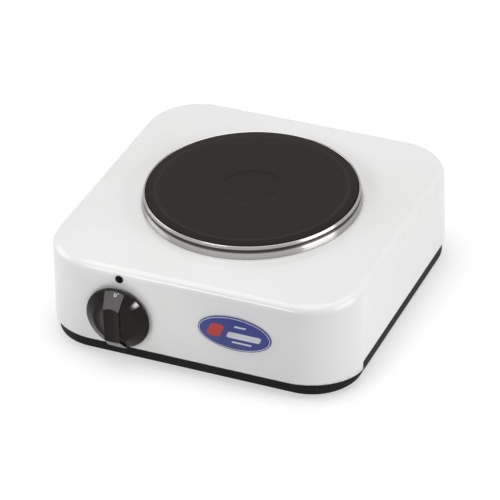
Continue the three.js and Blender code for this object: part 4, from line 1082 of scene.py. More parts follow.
@dataclass
class Housing:
    """The pressed and enamelled shell, open below, with its cut-outs."""

    paints: Paints
    half: float = 120 * MM
    corner: float = 43 * MM
    top: float = 78 * MM
    lean: float = 1.1 * MM
    fold: float = 6.5 * MM
    sheet: float = 1 * MM
    front_edge: float = 14.6 * MM
    dip: float = 2.3 * MM
    dip_length: float = 35 * MM
    side_edge: float = 19.5 * MM
    recess_front: float = 83 * MM
    recess_rear: float = 96 * MM
    recess_corner: float = 4 * MM
    opening: float = 75.3 * MM
    shaft_hole: float = 4.6 * MM
    small_hole: float = 2.1 * MM
    inlet_hole: float = 6 * MM
    hole_depth: float = 12 * MM
    margin: float = 2 * MM
    fold_steps: int = 10

    def __post_init__(self) -> None:
        """Finds the housing's place."""
        self.middle = middle_of("housing_shell")
        self.low = self.front_edge - self.dip
        self.fold_start = self.top - self.fold
        self.plate_middle = middle_of("cooking_plate")

    def wall(self, height: float) -> float:
        """Distance of the wall's outer face from the middle at a height."""
        return self.half - self.lean * (height - self.low) / (self.fold_start - self.low)

    def skin(self, offset: float, low: float) -> Form:
        """The outer skin, or the space inside it.

        Args:
            offset: How far inside the outer skin it lies.
            low: The height of its lower end.

        Returns:
            The closed form.
        """
        out = self.wall(low) - self.half
        rings = [Plan(self.half + out - offset, self.corner + out - offset).ring(low, self.middle)]
        fold = self.fold - offset
        half = self.half - self.lean - self.fold
        corner = self.corner - self.lean - self.fold
        for step in range(self.fold_steps + 1):
            angle = step / self.fold_steps * math.pi / 2
            reach = fold * math.cos(angle)
            plan = Plan(half + reach, corner + reach)
            rings.append(plan.ring(self.fold_start + fold * math.sin(angle), self.middle))
        return Form.lofted(rings)

    def front_tool(self) -> Form:
        """Trims the front and back edges: level in the middle, and lower towards the corners.

        Returns:
            The form to cut away.
        """
        reach = self.half + self.margin
        start = self.half - self.dip_length
        bow = self.half - self.dip_length / 2
        steps = 12
        slope = []
        for step in range(steps + 1):
            share = step / steps
            u = start * (1 - share) ** 2 + 2 * bow * share * (1 - share) + self.half * share**2
            v = self.front_edge * (1 - share**2) + self.low * share**2
            slope.append((u, v))
        right = [(reach, self.low - self.margin), (reach, self.low), *reversed(slope)]
        left = [(-u, v) for u, v in reversed(right)]
        upright = Matrix.Translation((0, self.middle.y, 0)) @ Matrix.Rotation(math.pi / 2, 4, "X")
        return Form.pulled(right + left, -reach, reach).moved(upright)

    def side_tool(self) -> Form:
        """Cuts the raised edge of both sides, with rounded ends.

        Returns:
            The form to cut away.
        """
        front, rear = -self.recess_front, self.recess_rear
        low = self.low - self.margin
        corners = [
            Corner(front, low),
            Corner(rear, low),
            Corner(rear, self.side_edge, self.recess_corner),
            Corner(front, self.side_edge, self.recess_corner),
        ]
        reach = self.half + self.margin
        turn = Matrix.Rotation(math.pi / 2, 4, "Z") @ Matrix.Rotation(math.pi / 2, 4, "X")
        form = Form.pulled(traced(corners, True, 8), -reach, reach)
        return form.moved(Matrix.Translation((0, self.middle.y, 0)) @ turn)

    def holes(self) -> list[Form]:
        """The front wall's holes for shaft, screws and lens, and the rear wall's for the cord.

        Returns:
            A rod for each hole.
        """
        depth = self.hole_depth
        front, rear = self.middle.y - self.half, self.middle.y + self.half
        small = ("pilot_lens", "thermostat_screw_left", "thermostat_screw_right")
        sizes = {"control_knob": self.shaft_hole, **dict.fromkeys(small, self.small_hole)}
        made = []
        for node, radius in sizes.items():
            at = middle_of(node)
            made.append(rod(radius, -depth, depth, Way.FRONT, Vector((at.x, front, at.z))))
        inlet = middle_of("cord_inlet_grommet")
        made.append(rod(self.inlet_hole, -depth, depth, Way.BACK, Vector((inlet.x, rear, inlet.z))))
        return made

    def build(self) -> bpy.types.Object:
        """Makes and dresses the shell.

        Returns:
            The shell.
        """
        piece = self.skin(0.0, self.low).piece("housing")
        inside = self.skin(self.sheet, self.low - self.margin)
        cut = Vector((self.plate_middle.x, self.plate_middle.y, 0))
        opening = rod(self.opening, self.fold_start, self.top + self.margin, Way.UP, cut, 160)
        combine(piece, [inside, opening, self.front_tool(), self.side_tool(), *self.holes()])
        eased(piece, 0.25 * MM, 50)
        return finished(piece, self.paints.enamel, Body.APPLIANCE, ["housing_shell"])


@dataclass
class Base:
    """The black moulded tray under the housing, with its posts, slots and a blank sunk panel."""

    paints: Paints
    foot_half: float = 116.5 * MM
    foot_corner: float = 36.5 * MM
    top_corner: float = 40.9 * MM
    rounding: float = 1.5 * MM
    wall: float = 2.2 * MM
    floor: float = 2 * MM
    wall_top: float = 24 * MM
    foot_height: float = 4 * MM
    slot_length: float = 34 * MM
    slot_width: float = 5 * MM
    slot_pitch: float = 12 * MM
    slots: int = 5
    row: float = 44 * MM
    post: float = 5 * MM
    post_top: float = 26.7 * MM
    post_hole: float = 2.05 * MM
    shield_post: float = 4 * MM
    shield_hole: float = 1.7 * MM
    block_hole: float = 1.8 * MM
    panel_half: Flat = (30 * MM, 14 * MM)
    panel_corner: float = 3 * MM
    panel_sink: float = 0.4 * MM
    margin: float = 2 * MM

    def __post_init__(self) -> None:
        """Finds the tray's place."""
        self.middle = middle_of("base_tray")
        self.top_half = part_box("base_tray")[1].x
        self.plate_y = middle_of("cooking_plate").y
        self.floor_top = self.foot_height + self.floor

    def dish(self) -> tuple[Form, Form]:
        """The outside of the tray and the space inside it.

        Returns:
            The outside and the inside.
        """
        steps = 5
        rings = []
        for step in range(steps + 1):
            angle = step / steps * math.pi / 2
            inset = self.rounding * (1 - math.sin(angle))
            height = self.foot_height + self.rounding * (1 - math.cos(angle))
            plan = Plan(self.foot_half - inset, self.foot_corner - inset)
            rings.append(plan.ring(height, self.middle))
        rings.append(Plan(self.top_half, self.top_corner).ring(self.wall_top, self.middle))
        outside = Form.lofted(rings)
        low = Plan(self.foot_half - self.wall, self.foot_corner - self.wall)
        high = Plan(self.top_half - self.wall, self.top_corner - self.wall)
        inside = Form.lofted([
            low.ring(self.floor_top, self.middle),
            high.ring(self.wall_top, self.middle),
            high.ring(self.wall_top + self.margin, self.middle),
        ])
        return outside, inside

    def slot(self, x: float, y: float) -> Form:
        """A slot through the floor, its long side along Y.

        Args:
            x: Its middle, along X.
            y: Its middle, along Y.

        Returns:
            The form to cut away.
        """
        half_width = self.slot_width / 2
        outline = rounded(x, y, half_width, self.slot_length / 2, half_width, 8)
        return Form.pulled(outline, self.foot_height - self.margin, self.floor_top + self.margin)

    def panel(self) -> Form:
        """A shallow blank panel sunk in the underside, where a rating plate would go.

        Returns:
            The form to cut away.
        """
        outline = rounded(0.0, self.plate_y, *self.panel_half, self.panel_corner, 6)
        low, high = self.foot_height - self.margin, self.foot_height + self.panel_sink
        return Form.pulled(outline, low, high)

    def build(self) -> bpy.types.Object:
        """Makes and dresses the tray.

        Returns:
            The tray.
        """
        outside, inside = self.dish()
        piece = outside.piece("base")
        combine(piece, [inside])
        root = self.foot_height + self.floor / 2
        low = self.foot_height - self.margin
        posts, holes = [], []
        for corner in CORNERS:
            place = middle_of(f"foot_{corner}")
            place.z = 0
            posts.append(rod(self.post, root, self.post_top, Way.UP, place))
            holes.append(rod(self.post_hole, low, self.post_top + self.margin, Way.UP, place))
        for number in (1, 2, 3):
            node = f"shield_screw_{number}"
            place = middle_of(node)
            place.z = 0
            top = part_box("base_tray")[1].z
            posts.append(rod(self.shield_post, root, top, Way.UP, place))
            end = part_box(node)[0].z
            holes.append(rod(self.shield_hole, end - self.margin, top + self.margin, Way.UP, place))
        for side in SIDES:
            place = middle_of(f"block_screw_{side}")
            place.z = 0
            holes.append(rod(self.block_hole, low, self.floor_top + self.margin, Way.UP, place))
        for index in range(self.slots):
            x = (index - (self.slots - 1) / 2) * self.slot_pitch
            holes += [self.slot(x, self.plate_y - self.row), self.slot(x, self.plate_y + self.row)]
        combine(piece, posts, Join.ADD)
        combine(piece, [*holes, self.panel()])
        eased(piece, 0.25 * MM, 50)
        return finished(piece, self.paints.base, Body.APPLIANCE, ["base_tray"])


@dataclass
class Feet:
    """The four rubber feet, each with a well for its screw and a ribbed tread."""

    paints: Paints
    radius: float = 8 * MM
    height: float = 3.7 * MM
    well: float = 3.9 * MM
    hole: float = 2.05 * MM
    web: float = 1.2 * MM
    grooves: Flat = (5 * MM, 6.4 * MM)
    groove_depth: float = 0.5 * MM
    groove_half: float = 0.3 * MM

    def build(self) -> list[bpy.types.Object]:
        """Makes and dresses the feet.

        Returns:
            The feet.
        """
        top = self.height
        corners = [Corner(self.well, 0.0, 0.3 * MM)]
        for radius in self.grooves:
            corners += [
                Corner(radius - self.groove_half, 0.0),
                Corner(radius - self.groove_half / 2, self.groove_depth),
                Corner(radius + self.groove_half / 2, self.groove_depth),
                Corner(radius + self.groove_half, 0.0),
            ]
        corners += [
            Corner(self.radius - 0.1 * MM, 0.0, 0.5 * MM),
            Corner(self.radius, top, 0.2 * MM),
            Corner(self.hole, top, 0.1 * MM),
            Corner(self.hole, top - self.web, 0.1 * MM),
            Corner(self.well, top - self.web),
        ]
        profile = traced(corners, True, 4)
        made = []
        for corner in CORNERS:
            place = middle_of(f"foot_{corner}")
            place.z = 0
            form = Form.turned(profile, 64, closed=True).moved(Matrix.Translation(place))
            piece = form.piece(f"rubber_foot_{corner}")
            node = f"foot_{corner}"
            made.append(finished(piece, self.paints.rubber, Body.APPLIANCE, [node]))
        return made


# ------------------------------------------------ cooking plate


@dataclass
class CookingPlate:
    """The cast plate, turned on top, with its dimple, border, channel and boss."""

    paints: Paints
    radius: float = 77.5 * MM
    border: float = 5 * MM
    border_drop: float = 0.6 * MM
    rim: float = 4.1 * MM
    body: float = 73.8 * MM
    depth: float = 14.2 * MM
    dimple: float = 22 * MM
    dimple_slope: float = 0.8 * MM
    dimple_depth: float = 0.5 * MM
    channel: Flat = (25 * MM, 63 * MM)
    channel_depth: float = 6 * MM
    boss: float = 10 * MM
    boss_depth: float = 2.5 * MM
    bore: float = 4.3 * MM

    def build(self) -> bpy.types.Object:
        """Makes and dresses the plate.

        Returns:
            The plate.
        """
        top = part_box("cooking_plate")[1].z
        under = top - self.depth
        roof = under + self.channel_depth
        inner, outer = self.channel
        edge = top - self.border_drop
        corners = [
            Corner(0.0, roof),
            Corner(self.bore, roof),
            Corner(self.bore, under - self.boss_depth, 0.3 * MM),
            Corner(self.boss, under - self.boss_depth, 0.5 * MM),
            Corner(self.boss, under, 0.8 * MM),
            Corner(inner, under, 0.6 * MM),
            Corner(inner, roof, 1.0 * MM),
            Corner(outer, roof, 1.0 * MM),
            Corner(outer, under, 0.6 * MM),
            Corner(self.body, under, 0.8 * MM),
            Corner(self.body, top - self.rim, 0.5 * MM),
            Corner(self.radius, top - self.rim, 0.6 * MM),
            Corner(self.radius, edge, 0.9 * MM),
            Corner(self.radius - self.border, top, 1.6 * MM),
            Corner(self.dimple + self.dimple_slope, top, 0.5 * MM),
            Corner(self.dimple - self.dimple_slope, top - self.dimple_depth, 0.5 * MM),
            Corner(0.0, top - self.dimple_depth),
        ]
        place = middle_of("cooking_plate")
        place.z = 0
        form = Form.turned(traced(corners, False), 180).moved(Matrix.Translation(place))
        piece = form.piece("cast_plate", 24)
        return finished(piece, self.paints.iron, Body.APPLIANCE, ["cooking_plate"])


@dataclass
class SpillRing:
    """The bright ring: a bead round the plate's edge, a crease and a flared skirt."""

    paints: Paints
    plate_radius: float = CookingPlate.radius
    plate_body: float = CookingPlate.body
    rim: float = CookingPlate.rim
    gap: float = 0.3 * MM
    sheet: float = 0.6 * MM
    bead: float = 2 * MM
    neck: float = 0.7 * MM
    flare: float = 2 * MM
    crest_drop: float = 0.4 * MM
    crease: float = 4 * MM

    def build(self) -> bpy.types.Object:
        """Makes and dresses the ring.

        Returns:
            The ring.
        """
        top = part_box("cooking_plate")[1].z
        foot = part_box("spill_ring")[0].z
        crest = top - self.crest_drop
        crease = crest - self.crease
        inner = self.plate_radius + self.gap
        neck = inner + self.bead - self.neck
        skirt = neck + self.flare
        middle = (foot + crease) / 2
        swell = neck + 0.6 * self.flare
        flange = top - self.rim - self.gap
        corners = [
            Corner(skirt - self.sheet, foot),
            Corner(skirt, foot, 0.2 * MM),
            Corner(swell, middle, 4.0 * MM),
            Corner(neck, crease, 0.6 * MM),
            Corner(neck + self.neck, crease + 0.45 * self.crease, 1.2 * MM),
            Corner(inner + 0.5 * self.bead, crest, 1.1 * MM),
            Corner(inner, crest - 0.2 * self.crease, 0.5 * MM),
            Corner(inner, flange),
            Corner(self.plate_body + self.gap, flange),
            Corner(self.plate_body + self.gap, flange - self.sheet),
            Corner(inner, flange - self.sheet),
            Corner(swell - self.sheet, middle),
        ]
        place = middle_of("spill_ring")
        place.z = 0
        form = Form.turned(traced(corners, True), 180, closed=True).moved(Matrix.Translation(place))
        piece = form.piece("bright_ring", 50)
        return finished(piece, self.paints.ring, Body.APPLIANCE, ["spill_ring"])


# ------------------------------------------------ front


@dataclass
class Knob:
    """The glossy knob: a skirt with a rounded shoulder, and a grip that ramps up from both ends."""

    paints: Paints
    radius: float = 24.6 * MM
    taper: float = 0.4 * MM
    skirt: float = 1.5 * MM
    shoulder: float = 7.4 * MM
    shoulder_depth: float = 4.6 * MM
    face: float = 6.5 * MM
    depth: float = 11.3 * MM
    width: float = 12.4 * MM
    root: float = 16.4 * MM
    end_face: float = 0.8 * MM
    ramp_up: float = 12 * MM
    ramp_down: float = 10.2 * MM
    lip: float = 0.8 * MM
    channel: float = 0.8 * MM
    wall: float = 2.4 * MM
    hollow: float = 3.2 * MM
    hollow_step: float = 0.4 * MM
    hollow_slope: float = 4 * MM
    hub: float = 6.5 * MM
    bore: float = 3.3 * MM
    bore_depth: float = 8.1 * MM
    margin: float = 2 * MM

    def __post_init__(self) -> None:
        """Finds the knob's place: the middle of its back face."""
        low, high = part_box("control_knob")
        self.place = Vector(((low.x + high.x) / 2, high.y, (low.z + high.z) / 2))

    def disc(self) -> Form:
        """The round part: a low skirt, a sloping shoulder and a slightly domed face.

        Returns:
            The form, with the knob's back at height 0.
        """
        corners = [
            Corner(0.0, 0.0),
            Corner(self.radius, 0.0, 0.2 * MM),
            Corner(self.reach, self.skirt, 0.7 * MM),
            Corner(self.reach - self.shoulder, self.skirt + self.shoulder_depth, 3.0 * MM),
            Corner(0.0, self.face),
        ]
        return Form.turned(traced(corners, False, 8), 120)

    @property
    def reach(self) -> float:
        """Distance from the axis to the shoulder's edge, where the grip ends."""
        return self.radius - self.taper

    @property
    def foot(self) -> float:
        """Height at which the grip's ramps start."""
        return self.skirt + self.end_face

    def grip(self) -> bpy.types.Object:
        """The bar across the face: a slightly dished ridge, a ramp at each end, rounded edges.

        Returns:
            The bar, with the knob's back at height 0.
        """
        low = self.skirt / 2
        side = [
            (-self.reach, low),
            (self.reach, low),
            (self.reach, self.foot),
            (self.reach - self.ramp_up, self.depth),
            (self.ramp_down - self.reach, self.depth),
            (-self.reach, self.foot),
        ]
        lip = self.width / 2 - self.lip
        across = [
            (-self.width / 2, self.depth),
            (-self.root / 2, low),
            (self.root / 2, low),
            (self.width / 2, self.depth),
        ]
        steps = 20
        for step in range(steps, -steps - 1, -1):
            share = step / steps
            across.append((lip * share, self.depth - self.channel * (1 - share * share)))
        lying = Matrix.Rotation(math.pi / 2, 4, "Z") @ Matrix.Rotation(math.pi / 2, 4, "X")
        piece = Form.pulled(side, -self.root, self.root).moved(lying).piece("grip")
        upright = Matrix.Rotation(math.pi / 2, 4, "X")
        along = Form.pulled(across, -self.radius, self.radius).moved(upright)
        high = 2 * self.depth
        barrel = [(0.0, 0.0), (self.reach, 0.0), (self.reach, high), (0.0, high)]
        combine(piece, [along, Form.turned(barrel, 120)], Join.KEEP)
        eased(piece, 0.5 * MM, 20, 3)
        return piece

    def build(self) -> bpy.types.Object:
        """Makes and dresses the knob.

        Returns:
            The knob.
        """
        grip = self.grip()
        piece = self.disc().piece("knob")
        modifier = piece.modifiers.new("grip", "BOOLEAN")
        modifier.operation = Join.ADD.value
        modifier.solver = "MANIFOLD"
        modifier.object = grip
        settle(piece)
        bpy.data.objects.remove(grip)
        rim = self.radius - self.wall
        inner = rim - self.hollow_slope
        hollow = [
            (self.hub, -self.margin),
            (rim, -self.margin),
            (rim, self.hollow_step),
            (inner, self.hollow),
            (self.hub, self.hollow),
        ]
        bore = rod(self.bore, -self.margin, self.bore_depth, Way.UP, Vector())
        combine(piece, [Form.turned(hollow, 120, closed=True), bore])
        smooth(piece, 30)
        piece.data.transform(Way.FRONT.matrix(self.place))
        return finished(piece, self.paints.knob, Body.KNOB, ["control_knob"])


@dataclass
class KnobMarks:
    """The off figure on the knob's upper ramp and the dot beside it."""

    paints: Paints
    knob: Knob
    thickness: float = 0.06 * MM
    root: float = 0.2 * MM
    figure: Flat = (1 * MM, 1.35 * MM)
    figure_hole: Flat = (0.5 * MM, 0.8 * MM)
    figure_place: Flat = (21.9 * MM, 0.9 * MM)
    dot: Flat = (0.4 * MM, 0.4 * MM)
    dot_place: Flat = (22.9 * MM, 3 * MM)

    def on_ramp(self, up: float, across: float) -> Matrix:
        """A frame on the upper ramp. Its X runs to the right and its Y up the ramp's slope.

        Args:
            up: Distance from the knob's axis, seen from the front.
            across: Distance right of the middle.

        Returns:
            The frame.
        """
        knob = self.knob
        rise = knob.depth - knob.foot
        share = (knob.reach - up) / knob.ramp_up
        slope = math.atan2(rise, knob.ramp_up)
        at = knob.place + Vector((across, -(knob.foot + rise * share), up))
        return Matrix.Translation(at) @ Matrix.Rotation(math.pi / 2 - slope, 4, "X")

    def build(self) -> list[bpy.types.Object]:
        """Makes and dresses the marks.

        Returns:
            The figure and the dot.
        """
        figure = Form.pulled(oval(*self.figure, 40), -self.root, self.thickness).piece("off_figure")
        combine(figure, [Form.pulled(oval(*self.figure_hole, 40), -1 * MM, 1 * MM)])
        figure.data.transform(self.on_ramp(*self.figure_place))
        dot = Form.pulled(oval(*self.dot, 24), -self.root, self.thickness).piece("index_dot")
        dot.data.transform(self.on_ramp(*self.dot_place))
        ink = self.paints.pale_ink
        return [finished(piece, ink, Body.KNOB) for piece in (figure, dot)]


def oval(wide: float, tall: float, steps: int) -> list[Flat]:
    """The outline of an ellipse with two half axes."""
    angles = [2 * math.pi * step / steps for step in range(steps)]
    return [(wide * math.cos(angle), tall * math.sin(angle)) for angle in angles]


@dataclass
class PilotLens:
    """The smoked lens: a domed head in a low collar, on a stem through the wall."""

    paints: Paints
    radius: float = 3 * MM
    proud: float = 0.9 * MM
    stem: float = 1.8 * MM
    stem_length: float = 4 * MM
    collar_foot: float = 0.45 * MM
    collar_top: float = 0.6 * MM
    collar_width: float = 0.5 * MM
    groove_width: float = 0.25 * MM
    groove_bottom: float = 0.42 * MM
    dome_shoulder: float = 0.86 * MM

    def build(self) -> bpy.types.Object:
        """Makes and dresses the lens.

        Returns:
            The lens.
        """
        low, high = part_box("pilot_lens")
        place = Vector(((low.x + high.x) / 2, low.y + self.proud, (low.z + high.z) / 2))
        inner = self.radius - self.collar_width
        corners = [
            Corner(0.0, -self.stem_length),
            Corner(self.stem, -self.stem_length, 0.2 * MM),
            Corner(self.stem, 0.0),
            Corner(self.radius, 0.0, 0.1 * MM),
            Corner(self.radius, self.collar_foot, 0.2 * MM),
            Corner(inner, self.collar_top, 0.15 * MM),
            Corner(inner - self.groove_width, self.groove_bottom, 0.1 * MM),
            Corner(self.radius / 2, self.dome_shoulder, 1.0 * MM),
            Corner(0.0, self.proud),
        ]
        form = Form.turned(traced(corners, False, 5), 64).moved(Way.FRONT.matrix(place))
        piece = form.piece("lens", 40)
        return finished(piece, self.paints.lens, Body.APPLIANCE, ["pilot_lens"])


@dataclass
class Badge:
    """The oval badge: a blue field in a pale keyline, with plain bars on it."""

    paints: Paints
    half_width: float = 28 * MM
    half_height: float = 13.8 * MM
    thickness: float = 0.6 * MM
    ink: float = 0.05 * MM
    ink_root: float = 0.02 * MM
    keyline: Flat = (0.8 * MM, 1.3 * MM)
    bar_slant: float = 0.25
    bar_corner: float = 0.35

    def __post_init__(self) -> None:
        """Finds the badge's place and how far it leans with the wall."""
        wall = Housing.top - Housing.fold - Housing.front_edge + Housing.dip
        self.lean = math.atan2(Housing.lean, wall)
        self.place = middle_of("front_badge") + Vector((0, self.thickness / 2, 0))

    def frame(self) -> Matrix:
        """The badge's own frame: X to the right, Y up the wall, Z out of it."""
        return Matrix.Translation(self.place) @ Matrix.Rotation(math.pi / 2 - self.lean, 4, "X")

    def outline(self, inset: float) -> list[Flat]:
        """The outline, or one that lies inside it."""
        return oval(self.half_width - inset, self.half_height - inset, 96)

    def bar(self, left: float, right: float, middle: float, height: float) -> list[Flat]:
        """A bar with slanted, rounded ends.

        Args:
            left: Its left end, halfway up.
            right: Its right end, halfway up.
            middle: The height of its middle.
            height: How high it is.

        Returns:
            The points in order.
        """
        slant = self.bar_slant * height
        low, high = middle - height / 2, middle + height / 2
        corners = [
            (left - slant, low),
            (right - slant, low),
            (right + slant, high),
            (left + slant, high),
        ]
        return traced([Corner(u, v, self.bar_corner * height) for u, v in corners], True)

    def printed(
        self, name: str, outline: Sequence[Flat], finish: Finish, hole: Sequence[Flat] = ()
    ) -> None:
        """Prints one shape on the badge.

        Args:
            name: The piece's name.
            outline: Its outline in the badge's frame.
            finish: Its ink.
            hole: An outline cut out of it.
        """
        low, high = self.thickness - self.ink_root, self.thickness + self.ink
        piece = Form.pulled(outline, low, high).piece(name)
        if hole:
            combine(piece, [Form.pulled(hole, 0.0, 2 * self.thickness)])
        piece.data.transform(self.frame())
        finished(piece, finish, Body.APPLIANCE)

    def build(self) -> None:
        """Makes and dresses the badge and what is printed on it."""
        rings = []
        for inset, height in ((0.0, 0.0), (0.0, 0.4), (0.08, 0.52), (0.25, 0.6)):
            outline = self.outline(inset * MM)
            rings.append([Vector((u, v, height * MM)) for u, v in outline])
        ground = Form.lofted(rings).piece("badge_field")
        ground.data.transform(self.frame())
        finished(ground, self.paints.badge, Body.APPLIANCE, ["front_badge"])
        red, pale = self.paints.red_ink, self.paints.pale_ink
        outer, inner = (self.outline(inset) for inset in self.keyline)
        self.printed("badge_keyline", outer, pale, inner)
        bars = (
            ("red", -20, -9, 0.5, 11, red),
            ("long", -5.5, 20, -1.2, 5, pale),
            ("short", -2, 13, -6.8, 1.3, pale),
            ("top", 0, 9, 6.4, 1.3, pale),
        )
        for name, left, right, middle, height, ink in bars:
            shape = self.bar(left * MM, right * MM, middle * MM, height * MM)
            self.printed(f"badge_bar_{name}", shape, ink)


# ------------------------------------------------ back, screws and inside


@dataclass
class CordInlet:
    """The rubber bush in the rear wall: a flange on each side, and a shallow recess round the bore.
    """

    paints: Paints
    bore: float = 3.8 * MM
    neck: float = 5.7 * MM
    flange: float = 8.5 * MM
    lip: float = 2.5 * MM
    recess: float = 1.1 * MM
    recess_flare: float = 0.5 * MM
    recess_depth: float = 0.6 * MM

    def build(self) -> bpy.types.Object:
        """Makes and dresses the bush.

        Returns:
            The bush.
        """
        low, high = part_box("cord_inlet_grommet")
        length = high.y - low.y
        recess = self.bore + self.recess
        corners = [
            Corner(self.bore, 0.0, 0.5 * MM),
            Corner(self.flange, 0.0, 0.6 * MM),
            Corner(self.flange, self.lip, 0.3 * MM),
            Corner(self.neck, self.lip),
            Corner(self.neck, length - self.lip),
            Corner(self.flange, length - self.lip, 0.3 * MM),
            Corner(self.flange - 0.6 * self.lip, length, 0.8 * MM),
            Corner(recess + self.recess_flare, length, 0.3 * MM),
            Corner(recess, length - self.recess_depth, 0.2 * MM),
            Corner(self.bore, length - self.recess_depth, 0.4 * MM),
        ]
        place = Vector(((low.x + high.x) / 2, low.y, (low.z + high.z) / 2))
        form = Form.turned(traced(corners, True), 72, closed=True).moved(Way.BACK.matrix(place))
        piece = form.piece("inlet_bush")
        node = "cord_inlet_grommet"
        return finished(piece, self.paints.rubber, Body.APPLIANCE, [node])


@dataclass(frozen=True)
class ScrewSize:
    """The radius and depth of a screw's head, and the radius of its shank."""

    head: float
    head_depth: float
    shank: float


@dataclass
class Screws:
    """Pan-head screws with a cross recess and a threaded shank, where the CAD has plain ones."""

    paints: Paints
    case: ScrewSize = ScrewSize(3.6 * MM, 1.6 * MM, 1.75 * MM)
    shield: ScrewSize = ScrewSize(3.2 * MM, 1.8 * MM, 1.4 * MM)
    block: ScrewSize = ScrewSize(2.6 * MM, 1.8 * MM, 1.5 * MM)
    wall: ScrewSize = ScrewSize(3.3 * MM, 1.7 * MM, 1.8 * MM)
    earth: ScrewSize = ScrewSize(3.8 * MM, 1.8 * MM, 2 * MM)
    pitch: float = 0.8 * MM
    thread_root: float = 0.86
    tip: float = 0.7
    tip_length: float = 0.3 * MM
    crown: float = 0.7
    cross_reach: float = 0.5
    cross_half: float = 0.13
    cross_depth: float = 0.55

    def screw(self, name: str, node: str, size: ScrewSize, way: Matrix) -> None:
        """Makes one screw in the place of a CAD node.

        Args:
            name: The piece's name.
            node: The CAD node.
            size: The screw's size.
            way: The turn that carries +Z to the direction in which the shank runs.
        """
        head, head_depth, shank = size.head, size.head_depth, size.shank
        low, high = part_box(node)
        axis = way @ Vector((0, 0, 1))
        span = abs((high - low).dot(axis))
        length = span - head_depth
        start = (low + high) / 2 - axis * (span / 2 - head_depth)
        corners = [
            Corner(0.0, -head_depth),
            Corner(head * self.crown, -head_depth, head * 0.3),
            Corner(head, -head_depth * 0.3, head_depth * 0.3),
            Corner(head, 0.0, 0.1 * MM),
            Corner(shank, 0.0),
        ]
        profile = traced(corners, False, 4)
        height = self.pitch * 0.6
        while height < length - self.pitch:
            profile += [(shank, height), (shank * self.thread_root, height + self.pitch / 2)]
            height += self.pitch
        profile.append((shank * self.thread_root, length - self.tip_length))
        profile += [(shank * self.tip, length), (0.0, length)]
        piece = Form.turned(profile, 32).piece(name)
        arm, half = head * self.cross_reach, head * self.cross_half
        depth = head_depth * self.cross_depth
        for turn in (0.0, math.pi / 2):
            cut = [(-arm, -half), (arm, -half), (arm, half), (-arm, half)]
            tool = Form.pulled(cut, -2 * head_depth, depth - head_depth)
            combine(piece, [tool.moved(Matrix.Rotation(turn, 4, "Z"))])
        smooth(piece, 35)
        piece.data.transform(Matrix.Translation(start) @ way.to_4x4())
        finished(piece, self.paints.screws, Body.APPLIANCE, [node])

    def build(self) -> None:
        """Makes and dresses every screw of the case."""
        up, down = Matrix.Identity(3), Matrix.Rotation(math.pi, 3, "X")
        back = Matrix.Rotation(-math.pi / 2, 3, "X")
        for corner in CORNERS:
            self.screw(f"case_screw_{corner}", f"base_screw_{corner}", self.case, up)
        for number in (1, 2, 3):
            self.screw(f"shield_fixing_{number}", f"shield_screw_{number}", self.shield, down)
        for side in SIDES:
            self.screw(f"block_fixing_{side}", f"block_screw_{side}", self.block, down)
            self.screw(f"wall_fixing_{side}", f"thermostat_screw_{side}", self.wall, back)
        self.screw("earth_fixing", "earth_screw", self.earth, up)


@dataclass
class Inside:
    """The CAD nodes that keep their shape. They get eased edges and their finishes."""

    paints: Paints
    crease: float = 35.0
    easing: float = 0.18 * MM
    weld: float = 1e-6

    def softener(self) -> bpy.types.NodeTree:
        """Node modifier that welds a CAD mesh and shades its gentle edges smooth.

        Returns:
            The node group.
        """
        tree = bpy.data.node_groups.new("soften", "GeometryNodeTree")
        tree.interface.new_socket("Geometry", in_out="INPUT", socket_type="NodeSocketGeometry")
        tree.interface.new_socket("Geometry", in_out="OUTPUT", socket_type="NodeSocketGeometry")
        graph = Graph(tree)
        mesh = graph.node("NodeGroupInput")
        values = {"Geometry": mesh, "Name": "custom_normal"}
        bare = graph.node("GeometryNodeRemoveAttribute", None, values)
        values = {"Geometry": bare, "Distance": self.weld}
        welded = graph.node("GeometryNodeMergeByDistance", None, values)
        angle = graph.node("GeometryNodeInputMeshEdgeAngle")
        sharp = graph.node(
            "FunctionNodeCompare", {"data_type": "FLOAT"}, {0: angle, 1: math.radians(self.crease)}
        )
        faces = graph.node("GeometryNodeSetShadeSmooth", {"domain": "FACE"}, {"Geometry": welded})
        values = {"Geometry": faces, "Selection": sharp, "Shade Smooth": False}
        edges = graph.node("GeometryNodeSetShadeSmooth", {"domain": "EDGE"}, values)
        graph.node("NodeGroupOutput", None, {0: edges})
        return tree

    def finishes(self) -> dict[str, Finish]:
        """The finish of each node that keeps its shape.

        Returns:
            A finish for each node's name.
        """
        paints = self.paints
        named = {
            "heating_coil": paints.coil,
            "insulation_disc": paints.mica,
            "plate_terminal_block": paints.porcelain,
            "mains_terminal_block": paints.porcelain,
            "thermostat_housing": paints.phenolic,
            "control_cam": paints.phenolic,
            "moving_contact": paints.brass,
            "fixed_contact": paints.brass,
            "pilot_lamp_body": paints.lamp,
            "live_lead": paints.brown,
            "switched_lead": paints.brown,
            "lamp_lead_left": paints.brown,
            "lamp_lead_right": paints.blue,
            "neutral_lead": paints.blue,
            "earth_lead": paints.green,
        }
        clamp = ("plate_stud", "clamping_bridge", "stud_washer", "stud_nut")
        sheet = ("plate_cover", *clamp, "heat_shield")
        turned = ("control_shaft", "knob_spring_clip")
        brackets = tuple(f"shell_bracket_{corner}" for corner in CORNERS)
        named.update({name: paints.zinc for name in (*sheet, *turned, *brackets)})
        return named

    def build(self) -> None:
        """Dresses the nodes that keep their shape."""
        soften = self.softener()
        for name, finish in self.finishes().items():
            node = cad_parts[name]
            node.data.materials.clear()
            node.data.materials.append(finish.material())
            modifier = node.modifiers.new("soften", "NODES")
            modifier.node_group = soften
            if not name.endswith(("lead", "left", "right", "coil")):
                ease = node.modifiers.new("ease", "BEVEL")
                ease.width, ease.segments = self.easing, 2
                ease.limit_method, ease.angle_limit = "ANGLE", math.radians(self.crease)
            log.info("%s: keeps its shape, finish %s", name, finish.name)


